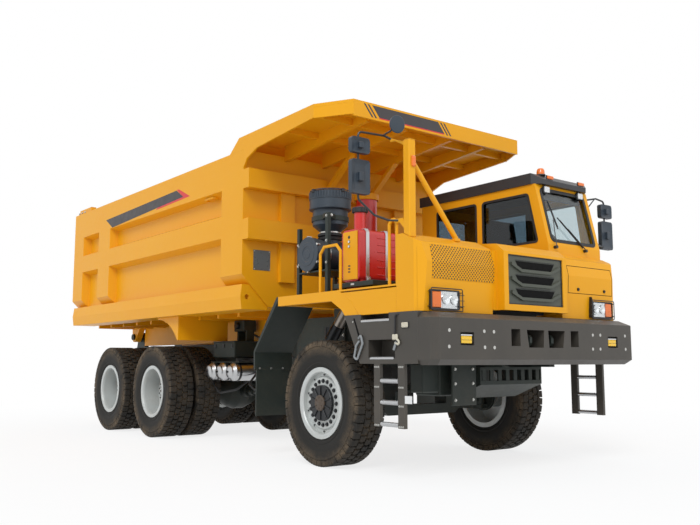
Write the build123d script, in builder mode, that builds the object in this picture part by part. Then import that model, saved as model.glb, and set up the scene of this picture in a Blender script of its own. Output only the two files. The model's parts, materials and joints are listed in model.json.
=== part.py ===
"""A mining dump truck: ladder chassis, offset cab, tipping tub with canopy, tailgate and hoist.

Millimetres. X points forward, Y to the truck's left, Z up. The origin is on the ground, under
the middle of the truck's box. Sides are told apart by -1 for right and +1 for left. What stands
at the front is placed back from the bumper's face, what stands at the back forward from the
tub's rear edge, and what goes with a wheel from its axle.
"""
import os

from build123d import *

os.makedirs("parts", exist_ok=True)

# Driving dimensions of the whole truck
length = 10370
body_width = 3570
front_overhang = 2115
wheelbase = 4755
tandem_spacing = 1820
track_outer = 3270           # over the outer faces of the tyres

front_x = length / 2
rear_x = -length / 2
axle_1_x = front_x - front_overhang
axle_2_x = axle_1_x - wheelbase
axle_3_x = axle_2_x - tandem_spacing
trunnion_x = (axle_2_x + axle_3_x) / 2
half_body = body_width / 2
tyre_face_y = track_outer / 2
sides = {"right": -1, "left": 1}

# Fits
seat_gap = 0.3               # between a curved piece and its seat
pin_gap = 0.1                # around a pin or shaft in its bore
hinge_gap = 10               # between a swinging plate and its neighbours
overcut = 5                  # how far a cut runs past the face that it opens

# Wheels
tyre_radius = 750
tyre_width = 425
tyre_tread_width = 392
tyre_bead_radius = 402
tyre_bead_width = 330
lug_count = 18               # in each of the two rows round a tyre
lug_depth = 26
lug_groove = 62
dual_pitch = 500             # between the middles of twin tyres
rim_wall = 40
rim_flange_height = 24
rim_flange_thickness = 14
bead_seat = 13               # how far a rim's flange stands in from the tyre's bulge
axle_z = tyre_radius

# Front axle and knuckles
kingpin_y = 1130
kingpin_radius = 45
kingpin_boss_radius = 88
beam_end_height = 190
beam_half_width = 75
beam_half_height = 60
beam_drop = 130
knuckle_arm_thickness = 60
knuckle_arm_gap = 6
knuckle_back_gap = 12
knuckle_flange_radius = 190
steering_arm_reach = 300
spindle_radius = 80
spindle_tip = 118            # from the tyre's outer face to the spindle's end

# Rear axles
axle_tube_radius = 150
axle_tube_tip = 520
axle_bowl_radius = 330
axle_bowl_half = 300
axle_nose_reach = 480
spring_pad_y = (500, 620)
spring_pad_z = (60, 240)     # over the axle's middle

# Chassis
rail_bottom_z = 1180
rail_top_z = 1540
rail_outer_y = 460
rail_flange = 100
rail_plate = 20
rail_rear_x = rear_x + 185
bumper_depth = 255
bumper_back_x = front_x - bumper_depth

# Tub
tub_front_x = front_x - 3715
tub_plate = 30
tub_top_z = 4180
tub_floor_z = 1998
tub_floor_thickness = 42
tub_wall = 40
post_depth = 145
post_flare = 45
floor_half_width = 1330
floor_lip = 16               # how far the sides lap past the floor's edge
pivot_x = rear_x + 355
pivot_z = 1740
pivot_pin_radius = 60

# Hoist
hoist_x = tub_front_x + 520
trunnion_z = 2740
hoist_eye_z = 1000
hoist_bottom_z = 1500
hoist_top_z = 3680
hoist_radii = [155, 143, 124, 105, 86]
hoist_wall = 8
stage_wall = 15
gland_height = 90
trunnion_radius = 50
eye_pin_radius = 45

# Deck, nose and cab
deck_z = 2065
deck_plate = 20
deck_rear_x = axle_1_x - 753
fender_y = 1740
fender_lip = 60
box_top_z = 1763             # of the step boxes, where the nose starts
bumper_y = 1745
nose_back_x = front_x - 581
nose_low_x = front_x - 240   # foot of the nose's face
nose_crease_x, nose_crease_z = front_x - 210, 2285
nose_brow_x, nose_brow_z = front_x - 255, 2490
nose_crest_x, nose_crest_z = front_x - 470, 2593
nose_corner = 100
sheet = 25                   # walls of hood and nose
hood_front_x = front_x - 115
hood_half_width = 560
cab_right_y = 620
cab_left_y = 1690
cab_front_x = front_x - 415
cab_rear_x = cab_front_x - 2250
cab_roof_z = 3480
cab_waist_z = 2690
cab_lean = 188               # how far the windscreen leans back
cab_wall = 50


def save(builder, label):
    """Label a finished piece and write its file."""
    builder.part.label = label
    export_step(builder.part, f"parts/{label}.step")


def block(x_span, y_span, z_span, mode=Mode.ADD):
    """A box between two corners."""
    spans = [sorted(span) for span in (x_span, y_span, z_span)]
    middle = [(low + high) / 2 for low, high in spans]
    with Locations(tuple(middle)):
        Box(*[high - low for low, high in spans], mode=mode)


def plate(plane, points, thickness, mode=Mode.ADD, rounding=0):
    """A plate on a plane, its outline's corners rounded where a radius is given."""
    with BuildSketch(plane) as outline:
        with BuildLine():
            Polyline(*points, close=True)
        make_face()
        if rounding:
            fillet(outline.vertices(), rounding)
    extrude(outline.sketch, amount=thickness, mode=mode)


def xz_plate(points, y_span, mode=Mode.ADD, rounding=0):
    """A plate with its outline seen from the side."""
    low, high = sorted(y_span)
    plate(Plane.XZ.offset(-low), points, low - high, mode, rounding)


def yz_plate(points, x_span, mode=Mode.ADD, rounding=0):
    """A plate with its outline seen from the front."""
    low, high = sorted(x_span)
    plate(Plane.YZ.offset(low), points, high - low, mode, rounding)


def xy_plate(points, z_span, mode=Mode.ADD, rounding=0):
    """A plate with its outline seen from above."""
    low, high = sorted(z_span)
    plate(Plane.XY.offset(low), points, high - low, mode, rounding)


def bar(start, end, radius, mode=Mode.ADD):
    """A round bar between two points."""
    run = Vector(*end) - Vector(*start)
    with BuildSketch(Plane(origin=start, z_dir=run)) as section:
        Circle(radius)
    extrude(section.sketch, amount=run.length, mode=mode)


def bent_tube(points, radius, bend):
    """A round tube along straight runs, turning at each corner in two equal steps."""
    stops = [Vector(*point) for point in points]
    route = [stops[0]]
    for before, corner, after in zip(stops, stops[1:], stops[2:]):
        route.append(corner + (before - corner).normalized() * bend)
        route.append(corner + (after - corner).normalized() * bend)
    route.append(stops[-1])
    with BuildLine() as run:
        Polyline(*route)
    with BuildSketch(Plane(origin=route[0], z_dir=route[1] - route[0])) as section:
        Circle(radius)
    sweep(section.sketch, path=run.line, transition=Transition.RIGHT)


def turned(profile, centre, y_sign):
    """A piece turned about a line along Y: profile holds (distance inboard, radius)."""
    with BuildSketch(Plane(origin=centre, x_dir=(0, -y_sign, 0), z_dir=(y_sign, 0, 0))) as half:
        with BuildLine():
            Polyline(*profile, close=True)
        make_face()
    revolve(half.sketch, axis=Axis(centre, (0, 1, 0)))


def stood(profile, centre):
    """A piece turned about an upright line: profile holds (radius, height)."""
    with BuildSketch(Plane(origin=centre, x_dir=(1, 0, 0), z_dir=(0, -1, 0))) as half:
        with BuildLine():
            Polyline(*profile, close=True)
        make_face()
    revolve(half.sketch, axis=Axis(centre, (0, 0, 1)))


def on_side(points, side):
    """The same outline on the given side, for outlines of (y, z)."""
    return [(side * y, z) for y, z in points]


# One tyre lying about Z: a carcass turned round its axle, and two staggered rows of grooves
half_tread = tyre_tread_width / 2
half_bead = tyre_bead_width / 2
wall_radius = (tyre_radius + tyre_bead_radius) / 2
with BuildPart() as tyre:
    with BuildSketch(Plane.XZ) as tyre_half:
        with BuildLine():
            Line((tyre_radius, -half_tread), (tyre_radius, half_tread))
            ThreePointArc((tyre_radius, half_tread), (wall_radius, tyre_width / 2),
                          (tyre_bead_radius, half_bead))
            Line((tyre_bead_radius, half_bead), (tyre_bead_radius, -half_bead))
            ThreePointArc((tyre_bead_radius, -half_bead), (wall_radius, -tyre_width / 2),
                          (tyre_radius, -half_tread))
        make_face()
    revolve(axis=Axis.Z)
    lug_pitch = 360 / lug_count
    for row, start in ((-1, lug_pitch / 2), (1, 0)):
        with Locations((0, 0, row * tyre_width / 4)):
            with PolarLocations(tyre_radius, lug_count, start_angle=start):
                Box(2 * lug_depth, lug_groove, tyre_width / 2, mode=Mode.SUBTRACT)

# Rims
rim_radius = tyre_bead_radius - seat_gap
rim_inner = rim_radius - rim_wall
flange_radius = tyre_bead_radius + rim_flange_height
bead_start = (tyre_width - tyre_bead_width) / 2 - bead_seat
bead_end = tyre_width - bead_start
lip_start = bead_start - rim_flange_thickness
hub_bore = spindle_radius + pin_gap
cap_radius, hub_radius = 85, 210
step_height = 12             # of the turned steps inside a rim


def front_rim_profile():
    """Distance in from the tyre's outer face, and radius, round half a front rim and hub."""
    disc_out, disc_in = 70, 115
    hub_face, hub_end = 30, 250
    return [
        (5, 0), (5, cap_radius), (hub_face, cap_radius), (hub_face, hub_radius),
        (disc_out, hub_radius), (disc_out, 305), (disc_out + 20, 325), (disc_out + 20, rim_inner),
        (bead_start, rim_inner), (lip_start, rim_inner + step_height),
        (lip_start, flange_radius), (bead_start, flange_radius),
        (bead_start, rim_radius), (bead_end, rim_radius), (bead_end, flange_radius),
        (bead_end + rim_flange_thickness, flange_radius),
        (bead_end + rim_flange_thickness, rim_inner), (disc_in, rim_inner), (disc_in, 150),
        (hub_end, 150), (hub_end, hub_bore), (spindle_tip - 4, hub_bore), (spindle_tip - 4, 0)]


def rear_rim_profile():
    """The same for a pair of deep rims that meet between twin tyres."""
    disc_out = (tyre_width + dual_pitch) / 2 - 15
    disc_in = disc_out + 30
    hub_face, hub_shoulder, hub_end = 225, 250, 780
    inner_end = dual_pitch + bead_end + rim_flange_thickness
    bore = axle_tube_radius + pin_gap
    return [
        (hub_face, 0), (hub_face, 120), (hub_shoulder, 150), (hub_shoulder, hub_radius - 5),
        (disc_out, hub_radius + 5), (disc_out, rim_inner - step_height),
        (disc_out - 130, rim_inner - step_height), (disc_out - 130, rim_inner),
        (bead_start + 30, rim_inner), (bead_start, rim_inner + step_height / 2),
        (lip_start, rim_inner + step_height), (lip_start, flange_radius),
        (bead_start, flange_radius), (bead_start, rim_radius),
        (dual_pitch + bead_end, rim_radius), (dual_pitch + bead_end, flange_radius),
        (inner_end, flange_radius), (inner_end, rim_inner), (disc_in, rim_inner),
        (disc_in, 270), (hub_end, 270), (hub_end, bore), (axle_tube_tip - 6, bore),
        (axle_tube_tip - 6, 0)]


for name, side in sides.items():
    outer_y = side * tyre_face_y
    outer_tyre_y = outer_y - side * tyre_width / 2
    with BuildPart() as front_tyre:
        with Locations(Location((axle_1_x, outer_tyre_y, axle_z), (90, 0, 0))):
            add(tyre.part)
    save(front_tyre, f"tyre_front_{name}")
    with BuildPart() as front_rim:
        turned(front_rim_profile(), (axle_1_x, outer_y, axle_z), side)
    save(front_rim, f"rim_front_{name}")
    for position, axle_x in (("middle", axle_2_x), ("rear", axle_3_x)):
        with BuildPart() as twin_tyres:
            for tyre_y in (outer_tyre_y, outer_tyre_y - side * dual_pitch):
                with Locations(Location((axle_x, tyre_y, axle_z), (90, 0, 0))):
                    add(tyre.part)
        save(twin_tyres, f"tyres_{position}_{name}")
        with BuildPart() as twin_rims:
            turned(rear_rim_profile(), (axle_x, outer_y, axle_z), side)
        save(twin_rims, f"rims_{position}_{name}")


# Front axle beam, with an eye at each end for the kingpin and a drop in its middle
with BuildPart() as front_axle:
    kingpins = [(axle_1_x, side * kingpin_y, axle_z) for side in sides.values()]
    with Locations(*kingpins):
        Cylinder(kingpin_boss_radius, beam_end_height)
    upper = [(kingpin_y, beam_half_height), (kingpin_y - 430, beam_half_height),
             (kingpin_y - 570, -beam_half_height)]
    lower = [(kingpin_y, -beam_half_height), (kingpin_y - 370, -beam_half_height),
             (kingpin_y - 530, -beam_half_height - beam_drop)]
    around = ([(-y, z) for y, z in upper] + upper[::-1]
              + lower + [(-y, z) for y, z in lower[::-1]])
    yz_plate([(y, axle_z + z) for y, z in around],
             (axle_1_x - beam_half_width, axle_1_x + beam_half_width))
    with Locations(*kingpins):
        Cylinder(kingpin_radius + pin_gap, beam_end_height * 2, mode=Mode.SUBTRACT)
save(front_axle, "front_axle")

# Knuckles: two arms over and under the beam's eye, the kingpin, the spindle and a steering arm
arm_near = beam_end_height / 2 + knuckle_arm_gap
arm_far = arm_near + knuckle_arm_thickness
back_y = kingpin_y + kingpin_boss_radius + knuckle_back_gap
for name, side in sides.items():
    with BuildPart() as knuckle:
        with Locations((axle_1_x, side * kingpin_y, axle_z)):
            Cylinder(kingpin_radius, 2 * arm_far)
        for up in (1, -1):
            with Locations((axle_1_x, side * kingpin_y, axle_z + up * (arm_near + arm_far) / 2)):
                Cylinder(kingpin_boss_radius, knuckle_arm_thickness)
            block((axle_1_x - 80, axle_1_x + 80), (side * kingpin_y, side * (back_y + 40)),
                  (axle_z + up * arm_near, axle_z + up * arm_far))
        bar((axle_1_x, side * back_y, axle_z), (axle_1_x, side * (back_y + 45), axle_z),
            knuckle_flange_radius)
        bar((axle_1_x, side * back_y, axle_z),
            (axle_1_x, side * (tyre_face_y - spindle_tip), axle_z), spindle_radius)
        tip_x = axle_1_x - steering_arm_reach
        xy_plate([(axle_1_x, side * (kingpin_y - 70)), (axle_1_x, side * (kingpin_y + 60)),
                  (tip_x, side * (kingpin_y - 30)), (tip_x, side * (kingpin_y - 110))],
                 (axle_z - arm_far, axle_z - arm_near))
    save(knuckle, f"knuckle_{name}")

# Rear axle housings: a round bowl with a cone down to each tube, and a nose for the shaft
tube_end = tyre_face_y - axle_tube_tip
cone_start, cone_end = axle_bowl_half - 60, axle_bowl_half + 120
cone_radius = axle_bowl_radius - 60
half_profile = [(90, axle_bowl_radius), (cone_start, cone_radius), (cone_end, axle_tube_radius),
                (tube_end, axle_tube_radius), (tube_end, 0)]
housing_profile = [(-reach, radius) for reach, radius in half_profile[::-1]] + half_profile
with BuildPart() as rear_axles:
    for axle_x, noses in ((axle_2_x, (1, -1)), (axle_3_x, (1,))):
        turned(housing_profile, (axle_x, 0, axle_z), 1)
        for end in noses:
            bar((axle_x, 0, axle_z), (axle_x + end * axle_nose_reach, 0, axle_z), 120)
        for side in sides.values():
            block((axle_x - 110, axle_x + 110), [side * y for y in spring_pad_y],
                  [axle_z + z for z in spring_pad_z])
save(rear_axles, "rear_axles")

# Springs: front leaf packs under the rails, rear packs on a trunnion between the axles
front_spring_y = (400, 510)
leaf_count, leaf_thickness, leaf_step, leaf_reach = 4, 24, 150, 760
front_leaf_z = axle_z + 180
pad_top_z = axle_z + spring_pad_z[1]
saddle_top_z = axle_z + 390
with BuildPart() as springs:
    for side in sides.values():
        span = [side * y for y in front_spring_y]
        for leaf in range(leaf_count):
            reach = leaf_reach - leaf_step * leaf
            leaf_z = front_leaf_z - leaf_thickness * leaf
            block((axle_1_x - reach, axle_1_x + reach), span, (leaf_z, leaf_z + leaf_thickness))
        block((axle_1_x - 110, axle_1_x + 110), span,
              (axle_z - beam_half_height, front_leaf_z - leaf_thickness * (leaf_count - 1)))
        for end in (1, -1):
            x_end = axle_1_x + end * leaf_reach
            block((x_end - 60, x_end + 60), span, (front_leaf_z + 20, rail_bottom_z))
        span = [side * y for y in spring_pad_y]
        reach = tandem_spacing / 2 + 110
        xz_plate([(trunnion_x - reach, pad_top_z), (trunnion_x + reach, pad_top_z),
                  (trunnion_x + reach, pad_top_z + 35), (trunnion_x + 500, saddle_top_z),
                  (trunnion_x - 500, saddle_top_z), (trunnion_x - reach, pad_top_z + 35)], span)
        block((trunnion_x - 150, trunnion_x + 150), span, (axle_z + 40, pad_top_z))
        xz_plate([(trunnion_x - 130, axle_z + 40), (trunnion_x + 130, axle_z + 40),
                  (trunnion_x + 230, rail_top_z - 40), (trunnion_x - 230, rail_top_z - 40)],
                 (side * rail_outer_y, side * spring_pad_y[0]))
save(springs, "springs")

# Chassis rails with cross members, the hoist's cradle, the tub's pivot shaft and tow points
cross_members = [bumper_back_x - 460, axle_1_x - 740, hoist_x - 430, axle_2_x + 1835,
                 axle_2_x + 585, trunnion_x, rear_x + 1185, rail_rear_x + 60]
member_half, member_z = 60, (rail_bottom_z + 80, rail_bottom_z + 280)
tow_hole_radius = 30
tow_lug_y, tow_lug_z, tow_lug_half = 190, 1480, 20
tow_tip_x = front_x - 65
clevis_z, clevis_gap, clevis_plate = 1360, 50, 20
cradle_y, cradle_low_z, cradle_plate = 200, 850, 30
ear_y = (rail_outer_y - 80, rail_outer_y)
pivot_shaft_y = 640
with BuildPart() as chassis:
    for side in sides.values():
        web_in = rail_outer_y - rail_plate
        flange_in = rail_outer_y - rail_flange
        channel = [(rail_outer_y, rail_bottom_z), (rail_outer_y, rail_top_z),
                   (flange_in, rail_top_z), (flange_in, rail_top_z - rail_plate),
                   (web_in, rail_top_z - rail_plate), (web_in, rail_bottom_z + rail_plate),
                   (flange_in, rail_bottom_z + rail_plate), (flange_in, rail_bottom_z)]
        yz_plate(on_side(channel, side), (rail_rear_x, bumper_back_x))
        ear = [(pivot_x - 170, rail_top_z), (pivot_x + 230, rail_top_z),
               (pivot_x + 80, pivot_z + 50), (pivot_x - 80, pivot_z + 50)]
        xz_plate(ear, [side * y for y in ear_y])
        bar((pivot_x, side * ear_y[0], pivot_z), (pivot_x, side * ear_y[1], pivot_z), 95)
        block((hoist_x - 400, hoist_x + 400), (side * cradle_y, side * (cradle_y + cradle_plate)),
              (cradle_low_z, member_z[1] - 60))
        block((hoist_x - 120, hoist_x + 120), (side * 100, side * 130),
              (cradle_low_z + cradle_plate, hoist_eye_z + 120))
    for x in cross_members:
        block((x - member_half, x + member_half), (-web_in, web_in), member_z)
    block((hoist_x - 150, hoist_x + 150), (-cradle_y, cradle_y),
          (cradle_low_z, cradle_low_z + cradle_plate))
    block((bumper_back_x - 40, bumper_back_x), (-rail_outer_y, rail_outer_y),
          (tow_lug_z - 100, tow_lug_z + 60))
    for side in sides.values():
        xz_plate([(bumper_back_x, tow_lug_z - 60), (bumper_back_x, tow_lug_z + 60),
                  (tow_tip_x - 25, tow_lug_z + 60), (tow_tip_x, tow_lug_z + 30),
                  (tow_tip_x, tow_lug_z - 30), (tow_tip_x - 25, tow_lug_z - 60)],
                 (side * (tow_lug_y - tow_lug_half), side * (tow_lug_y + tow_lug_half)))
        bar((tow_tip_x - 55, side * (tow_lug_y - 2 * tow_lug_half), tow_lug_z),
            (tow_tip_x - 55, side * (tow_lug_y + 2 * tow_lug_half), tow_lug_z), tow_hole_radius,
            mode=Mode.SUBTRACT)
    for z in (clevis_z - clevis_gap, clevis_z + clevis_gap):
        block((rail_rear_x - 150, rail_rear_x), (-90, 90), (z - clevis_plate, z + clevis_plate))
    bar((rail_rear_x - 80, 0, clevis_z - 90), (rail_rear_x - 80, 0, clevis_z + 90),
        tow_hole_radius, mode=Mode.SUBTRACT)
    bar((pivot_x, -pivot_shaft_y, pivot_z), (pivot_x, pivot_shaft_y, pivot_z), pivot_pin_radius)
save(chassis, "chassis_frame")

# Engine with gearbox and drop case, as one plain mass, and the shafts to the rear axles
engine_front_x = front_x - 835
engine_rear_x = engine_front_x - 1450
gearbox_rear_x = engine_rear_x - 450
drop_case_front_x = gearbox_rear_x + 300
with BuildPart() as engine:
    block((engine_rear_x, engine_front_x), (-330, 330), (rail_bottom_z, 2000))
    block((gearbox_rear_x, engine_rear_x), (-250, 250), (rail_bottom_z, 1640))
    block((gearbox_rear_x, drop_case_front_x), (-200, 200), (640, rail_bottom_z))
    for x in (engine_rear_x + 150, engine_front_x - 200):
        block((x, x + 120), (-web_in, web_in), (1300, 1380))
save(engine, "engine_block")

shaft_radius, joint_radius = 62, 85
with BuildPart() as shafts:
    middle_nose_x = axle_2_x + axle_nose_reach
    bar((gearbox_rear_x, 0, axle_z), (middle_nose_x, 0, axle_z), shaft_radius)
    for x in (gearbox_rear_x - 70, middle_nose_x + 80):
        bar((x - 60, 0, axle_z), (x + 60, 0, axle_z), joint_radius)
    bar((axle_2_x - axle_nose_reach, 0, axle_z), (axle_3_x + axle_nose_reach, 0, axle_z),
        shaft_radius)
save(shafts, "drive_shafts")

# Bumper: a deep box bevelled above and below, with four tow openings and two lamp recesses
bumper_face_z = (1265, 1690)
bumper_low_z, bumper_high_z = 1208, 1752
bumper_corner = 70
fog_recess = ((1180, 1385), (1410, 1545))
fog_depth = 60


def bumper_outline(inset_x, inset_y):
    """The bumper seen from above, drawn in from its face and ends."""
    nose_x, end_y = front_x - inset_x, bumper_y - inset_y
    half = [(bumper_back_x, end_y), (nose_x - bumper_corner, end_y),
            (nose_x, end_y - bumper_corner)]
    return half + [(x, -y) for x, y in half[::-1]]


with BuildPart() as bumper:
    xy_plate(bumper_outline(0, 0), bumper_face_z)
    for face_z, edge_z, inset_x, inset_y in ((bumper_face_z[1], bumper_high_z, 133, 60),
                                             (bumper_face_z[0], bumper_low_z, 80, 40)):
        for level, inset in ((face_z, (0, 0)), (edge_z, (inset_x, inset_y))):
            with BuildSketch(Plane.XY.offset(level)):
                with BuildLine():
                    Polyline(*bumper_outline(*inset), close=True)
                make_face()
        loft(ruled=True)
    for side in sides.values():
        inner_opening = [(34, 1592), (338, 1592), (303, 1397), (49, 1397)]
        outer_opening = [(446, 1596), (597, 1596), (597, 1410), (446, 1410)]
        for opening in (inner_opening, outer_opening):
            yz_plate(on_side(opening, side), (bumper_back_x - overcut, front_x + overcut),
                     mode=Mode.SUBTRACT)
        recess_y, recess_z = fog_recess
        block((front_x - fog_depth, front_x + overcut), [side * y for y in recess_y], recess_z,
              mode=Mode.SUBTRACT)
save(bumper, "bumper")

# Radiator guard under the bumper: upright slats, two cheeks and a sloping skid plate
guard_front_x = front_x - 515
guard_rear_x = guard_front_x - 420
guard_half = 540
guard_low_z, guard_rear_z = 980, 815
guard_plate = 20
slat_count, slat_width = 8, 60
with BuildPart() as radiator_guard:
    for side in sides.values():
        xz_plate([(guard_front_x, rail_bottom_z), (guard_front_x, guard_low_z),
                  (guard_rear_x, guard_rear_z), (guard_rear_x, rail_bottom_z)],
                 (side * guard_half, side * (guard_half - guard_plate)))
    xz_plate([(guard_front_x, guard_low_z), (guard_rear_x, guard_rear_z),
              (guard_rear_x, guard_rear_z + guard_plate),
              (guard_front_x, guard_low_z + guard_plate)], (-guard_half, guard_half))
    for z_span in ((guard_low_z, guard_low_z + 45), (rail_bottom_z - 30, rail_bottom_z)):
        block((guard_front_x - 30, guard_front_x), (-guard_half, guard_half), z_span)
    slat_pitch = 2 * guard_half / slat_count
    for slat in range(slat_count):
        y = -guard_half + slat_pitch * (slat + 0.5)
        block((guard_front_x - 25, guard_front_x - 5), (y - slat_width / 2, y + slat_width / 2),
              (guard_low_z + 40, rail_bottom_z - 25))
save(radiator_guard, "radiator_guard")

radiator_x = (front_x - 585, front_x - 425)
with BuildPart() as radiator:
    block(radiator_x, (-flange_in, flange_in), (1240, 1800))
    block(radiator_x, (-500, 500), (1800, 2430))
save(radiator, "radiator")

# Step boxes, each with an upper step, a deep lower step and a ladder hung below
step_low_z = 1220
step_back_x, step_foot_x = front_x - 1228, front_x - 1125
upper_step = ((front_x - 1178, front_x - 702), 1688)
lower_step = ((front_x - 1044, front_x - 603), (1279, 1478))
step_depth = 200
step_inner_y = 1180
ladder_low_z, stile_width, stile_depth = 554, 100, 40
stile_x = (front_x - 950, front_x - 561)
rung_radius = 20
rung_levels = (1040, 814, 586)
leg_width = 60
with BuildPart() as steps:
    for side in sides.values():
        outer = side * bumper_y
        xz_plate([(step_back_x, box_top_z), (bumper_back_x, box_top_z),
                  (bumper_back_x, step_low_z), (step_foot_x, step_low_z)],
                 (outer, side * step_inner_y))
        step_y = (side * (bumper_y - step_depth), side * (bumper_y + overcut))
        block(upper_step[0], step_y, (upper_step[1], box_top_z + overcut), mode=Mode.SUBTRACT)
        block(lower_step[0], step_y, lower_step[1], mode=Mode.SUBTRACT)
        for x in stile_x:
            block((x, x + stile_width), (outer, side * (bumper_y - stile_depth)),
                  (ladder_low_z, step_low_z))
        for z in rung_levels:
            rung_y = side * (bumper_y - stile_depth / 2)
            bar((stile_x[0] + stile_width, rung_y, z), (stile_x[1], rung_y, z), rung_radius - 1)
        xz_plate([(step_back_x - 243, box_top_z), (step_back_x, box_top_z),
                  (step_foot_x + 40, step_low_z), (step_foot_x - 67, step_low_z)],
                 (outer, side * (bumper_y - leg_width)))
save(steps, "step_boxes")

# Decks over the front wheels, each with its fender arch and brackets down to the rail
arch_low_z = 1945
arch = [(deck_rear_x, deck_z - deck_plate), (deck_rear_x, arch_low_z),
        (axle_1_x + 376, arch_low_z), (axle_1_x + 578, 1834), (step_back_x - 243, box_top_z),
        (step_back_x, box_top_z), (axle_1_x + 773, 1912), (axle_1_x + 550, deck_z - deck_plate)]
bracket_width = 90
with BuildPart() as decks:
    for side in sides.values():
        block((deck_rear_x, nose_back_x), (side * (hood_half_width + 10), side * fender_y),
              (deck_z - deck_plate, deck_z))
        xz_plate(arch, (side * fender_y, side * (fender_y - fender_lip)))
        for x in (deck_rear_x + 83, front_x - 1065):
            block((x, x + bracket_width), (side * rail_outer_y, side * (fender_y - fender_lip)),
                  (arch_low_z, deck_z - deck_plate))
            block((x, x + bracket_width),
                  (side * rail_outer_y, side * (rail_outer_y + bracket_width)),
                  (1300, arch_low_z))
save(decks, "decks")

# Mud panels behind the front wheels, with a rubber flap below
panel_knee_x, panel_knee_z = axle_1_x - 1302, 1365
panel_low_z, flap_low_z = 1139, 532
panel = [(deck_rear_x, deck_z), (deck_rear_x, deck_z - 45), (panel_knee_x, panel_knee_z),
         (panel_knee_x + 6, panel_low_z), (panel_knee_x - 24, panel_low_z),
         (panel_knee_x - 30, panel_knee_z + 12), (deck_rear_x - 35, deck_z)]
with BuildPart() as mud_panels:
    for side in sides.values():
        xz_plate(panel, (side * fender_y, side * 1150))
        block((panel_knee_x - 16, panel_knee_x + 4), (side * (fender_y - 30), side * 1190),
              (flap_low_z, panel_low_z + 110))
save(mud_panels, "mud_panels")

# Nose: an upright box each side of the hood, its outer corner bevelled
nose_profile = [(nose_back_x, box_top_z), (nose_low_x, box_top_z), (nose_crease_x, nose_crease_z),
                (nose_brow_x, nose_brow_z), (nose_crest_x, nose_crest_z),
                (nose_back_x, nose_crest_z)]
with BuildPart() as nose_boxes:
    for side in sides.values():
        xz_plate(nose_profile, (side * fender_y, side * cab_right_y))
        corner_x = nose_crease_x + sheet
        corner_y = fender_y + sheet
        reach = nose_corner + 2 * sheet
        xy_plate([(corner_x - reach, side * corner_y), (corner_x, side * (corner_y - reach)),
                  (corner_x, side * corner_y)],
                 (box_top_z - overcut, nose_crest_z + overcut), mode=Mode.SUBTRACT)
        block((nose_back_x + sheet, nose_low_x - 45),
              (side * (fender_y - sheet), side * (cab_right_y + sheet)),
              (box_top_z + sheet, nose_brow_z - 50), mode=Mode.SUBTRACT)
    block((nose_back_x - overcut, cab_front_x), (cab_right_y - overcut, fender_y + overcut),
          (deck_z, nose_crest_z + overcut), mode=Mode.SUBTRACT)
save(nose_boxes, "nose_boxes")

# Hood over the engine, open below, with a cut for the grille and a filler strip each side
hood_low_z = 1810
hood_face_top_z = 2470
hood_top_z = 2590
hood_crown_x = front_x - 535
hood_step_x = bumper_back_x - 30
hood_notch_x = hood_step_x - 400
hood_profile = [(cab_rear_x, deck_z), (cab_rear_x, hood_top_z - 30), (hood_crown_x, hood_top_z),
                (hood_front_x - 110, hood_top_z - 30), (hood_front_x, hood_face_top_z),
                (hood_front_x, hood_low_z), (hood_step_x, hood_low_z),
                (hood_step_x, deck_z - sheet), (hood_notch_x, deck_z)]
inner_hood = [(cab_rear_x + sheet, hood_low_z - 110), (cab_rear_x + sheet, hood_top_z - 30 - sheet),
              (hood_crown_x, hood_top_z - sheet), (hood_front_x - 120, hood_top_z - 54),
              (hood_front_x - 30, hood_face_top_z - 10), (hood_front_x - 30, hood_low_z + sheet),
              (hood_step_x - 40, hood_low_z - 110)]
grille_half_width, grille_z = 485, (1878, 2440)
with BuildPart() as hood:
    xz_plate(hood_profile, (-hood_half_width, hood_half_width))
    xz_plate(inner_hood, (-hood_half_width + sheet, hood_half_width - sheet), mode=Mode.SUBTRACT)
    block((hood_front_x - 60, hood_front_x + overcut), (-grille_half_width, grille_half_width),
          grille_z, mode=Mode.SUBTRACT)
    for side in sides.values():
        block((nose_back_x, hood_front_x - 110), (side * hood_half_width, side * cab_right_y),
              (hood_low_z, hood_face_top_z + 10))
save(hood, "hood")

# Grille: a back panel with three bars that turn up at both ends
grille_back_x = hood_front_x - 30
grille_panel = 12
louvre_levels = (1945, 2103, 2265)
louvre_half_height = 18
louvre_rise = 72
with BuildPart() as grille:
    block((grille_back_x, grille_back_x + grille_panel), (-grille_half_width, grille_half_width),
          grille_z)
    for level in louvre_levels:
        rising = [(260, 0), (430, louvre_rise)]
        top = [(y, level + louvre_half_height + z) for y, z in rising]
        low = [(y, level - louvre_half_height + z) for y, z in rising]
        louvre = top + low[::-1] + [(-y, z) for y, z in low] + [(-y, z) for y, z in top[::-1]]
        yz_plate(louvre, (grille_back_x + grille_panel, hood_front_x + 8))
save(grille, "grille")


def nose_face_x(z):
    """Where the nose's lower face is at a height."""
    share = (z - box_top_z) / (nose_crease_z - box_top_z)
    return nose_low_x + share * (nose_crease_x - nose_low_x)


# Headlamps on the nose's face, and the two fog lamps in the bumper
lamp_z = (1783, 1990)
lamp_y = (1180, 1600)
lamp_front_x = nose_crease_x + 15
fog_gap = 15
with BuildPart() as headlamps:
    for side in sides.values():
        xz_plate([(nose_face_x(lamp_z[0]) + seat_gap, lamp_z[0]), (lamp_front_x, lamp_z[0]),
                  (lamp_front_x, lamp_z[1]), (nose_face_x(lamp_z[1]) + seat_gap, lamp_z[1])],
                 [side * y for y in lamp_y])
        fog_y = [side * (fog_recess[0][0] + fog_gap), side * (fog_recess[0][1] - fog_gap)]
        block((front_x - fog_depth, front_x - fog_gap / 2), fog_y,
              (fog_recess[1][0] + fog_gap, fog_recess[1][1] - fog_gap))
save(headlamps, "headlamps")


def screen_x(z):
    """Where the slanting windscreen's outer face is at a height."""
    return cab_front_x - (z - cab_waist_z) * cab_lean / (cab_roof_z - cab_waist_z)


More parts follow.
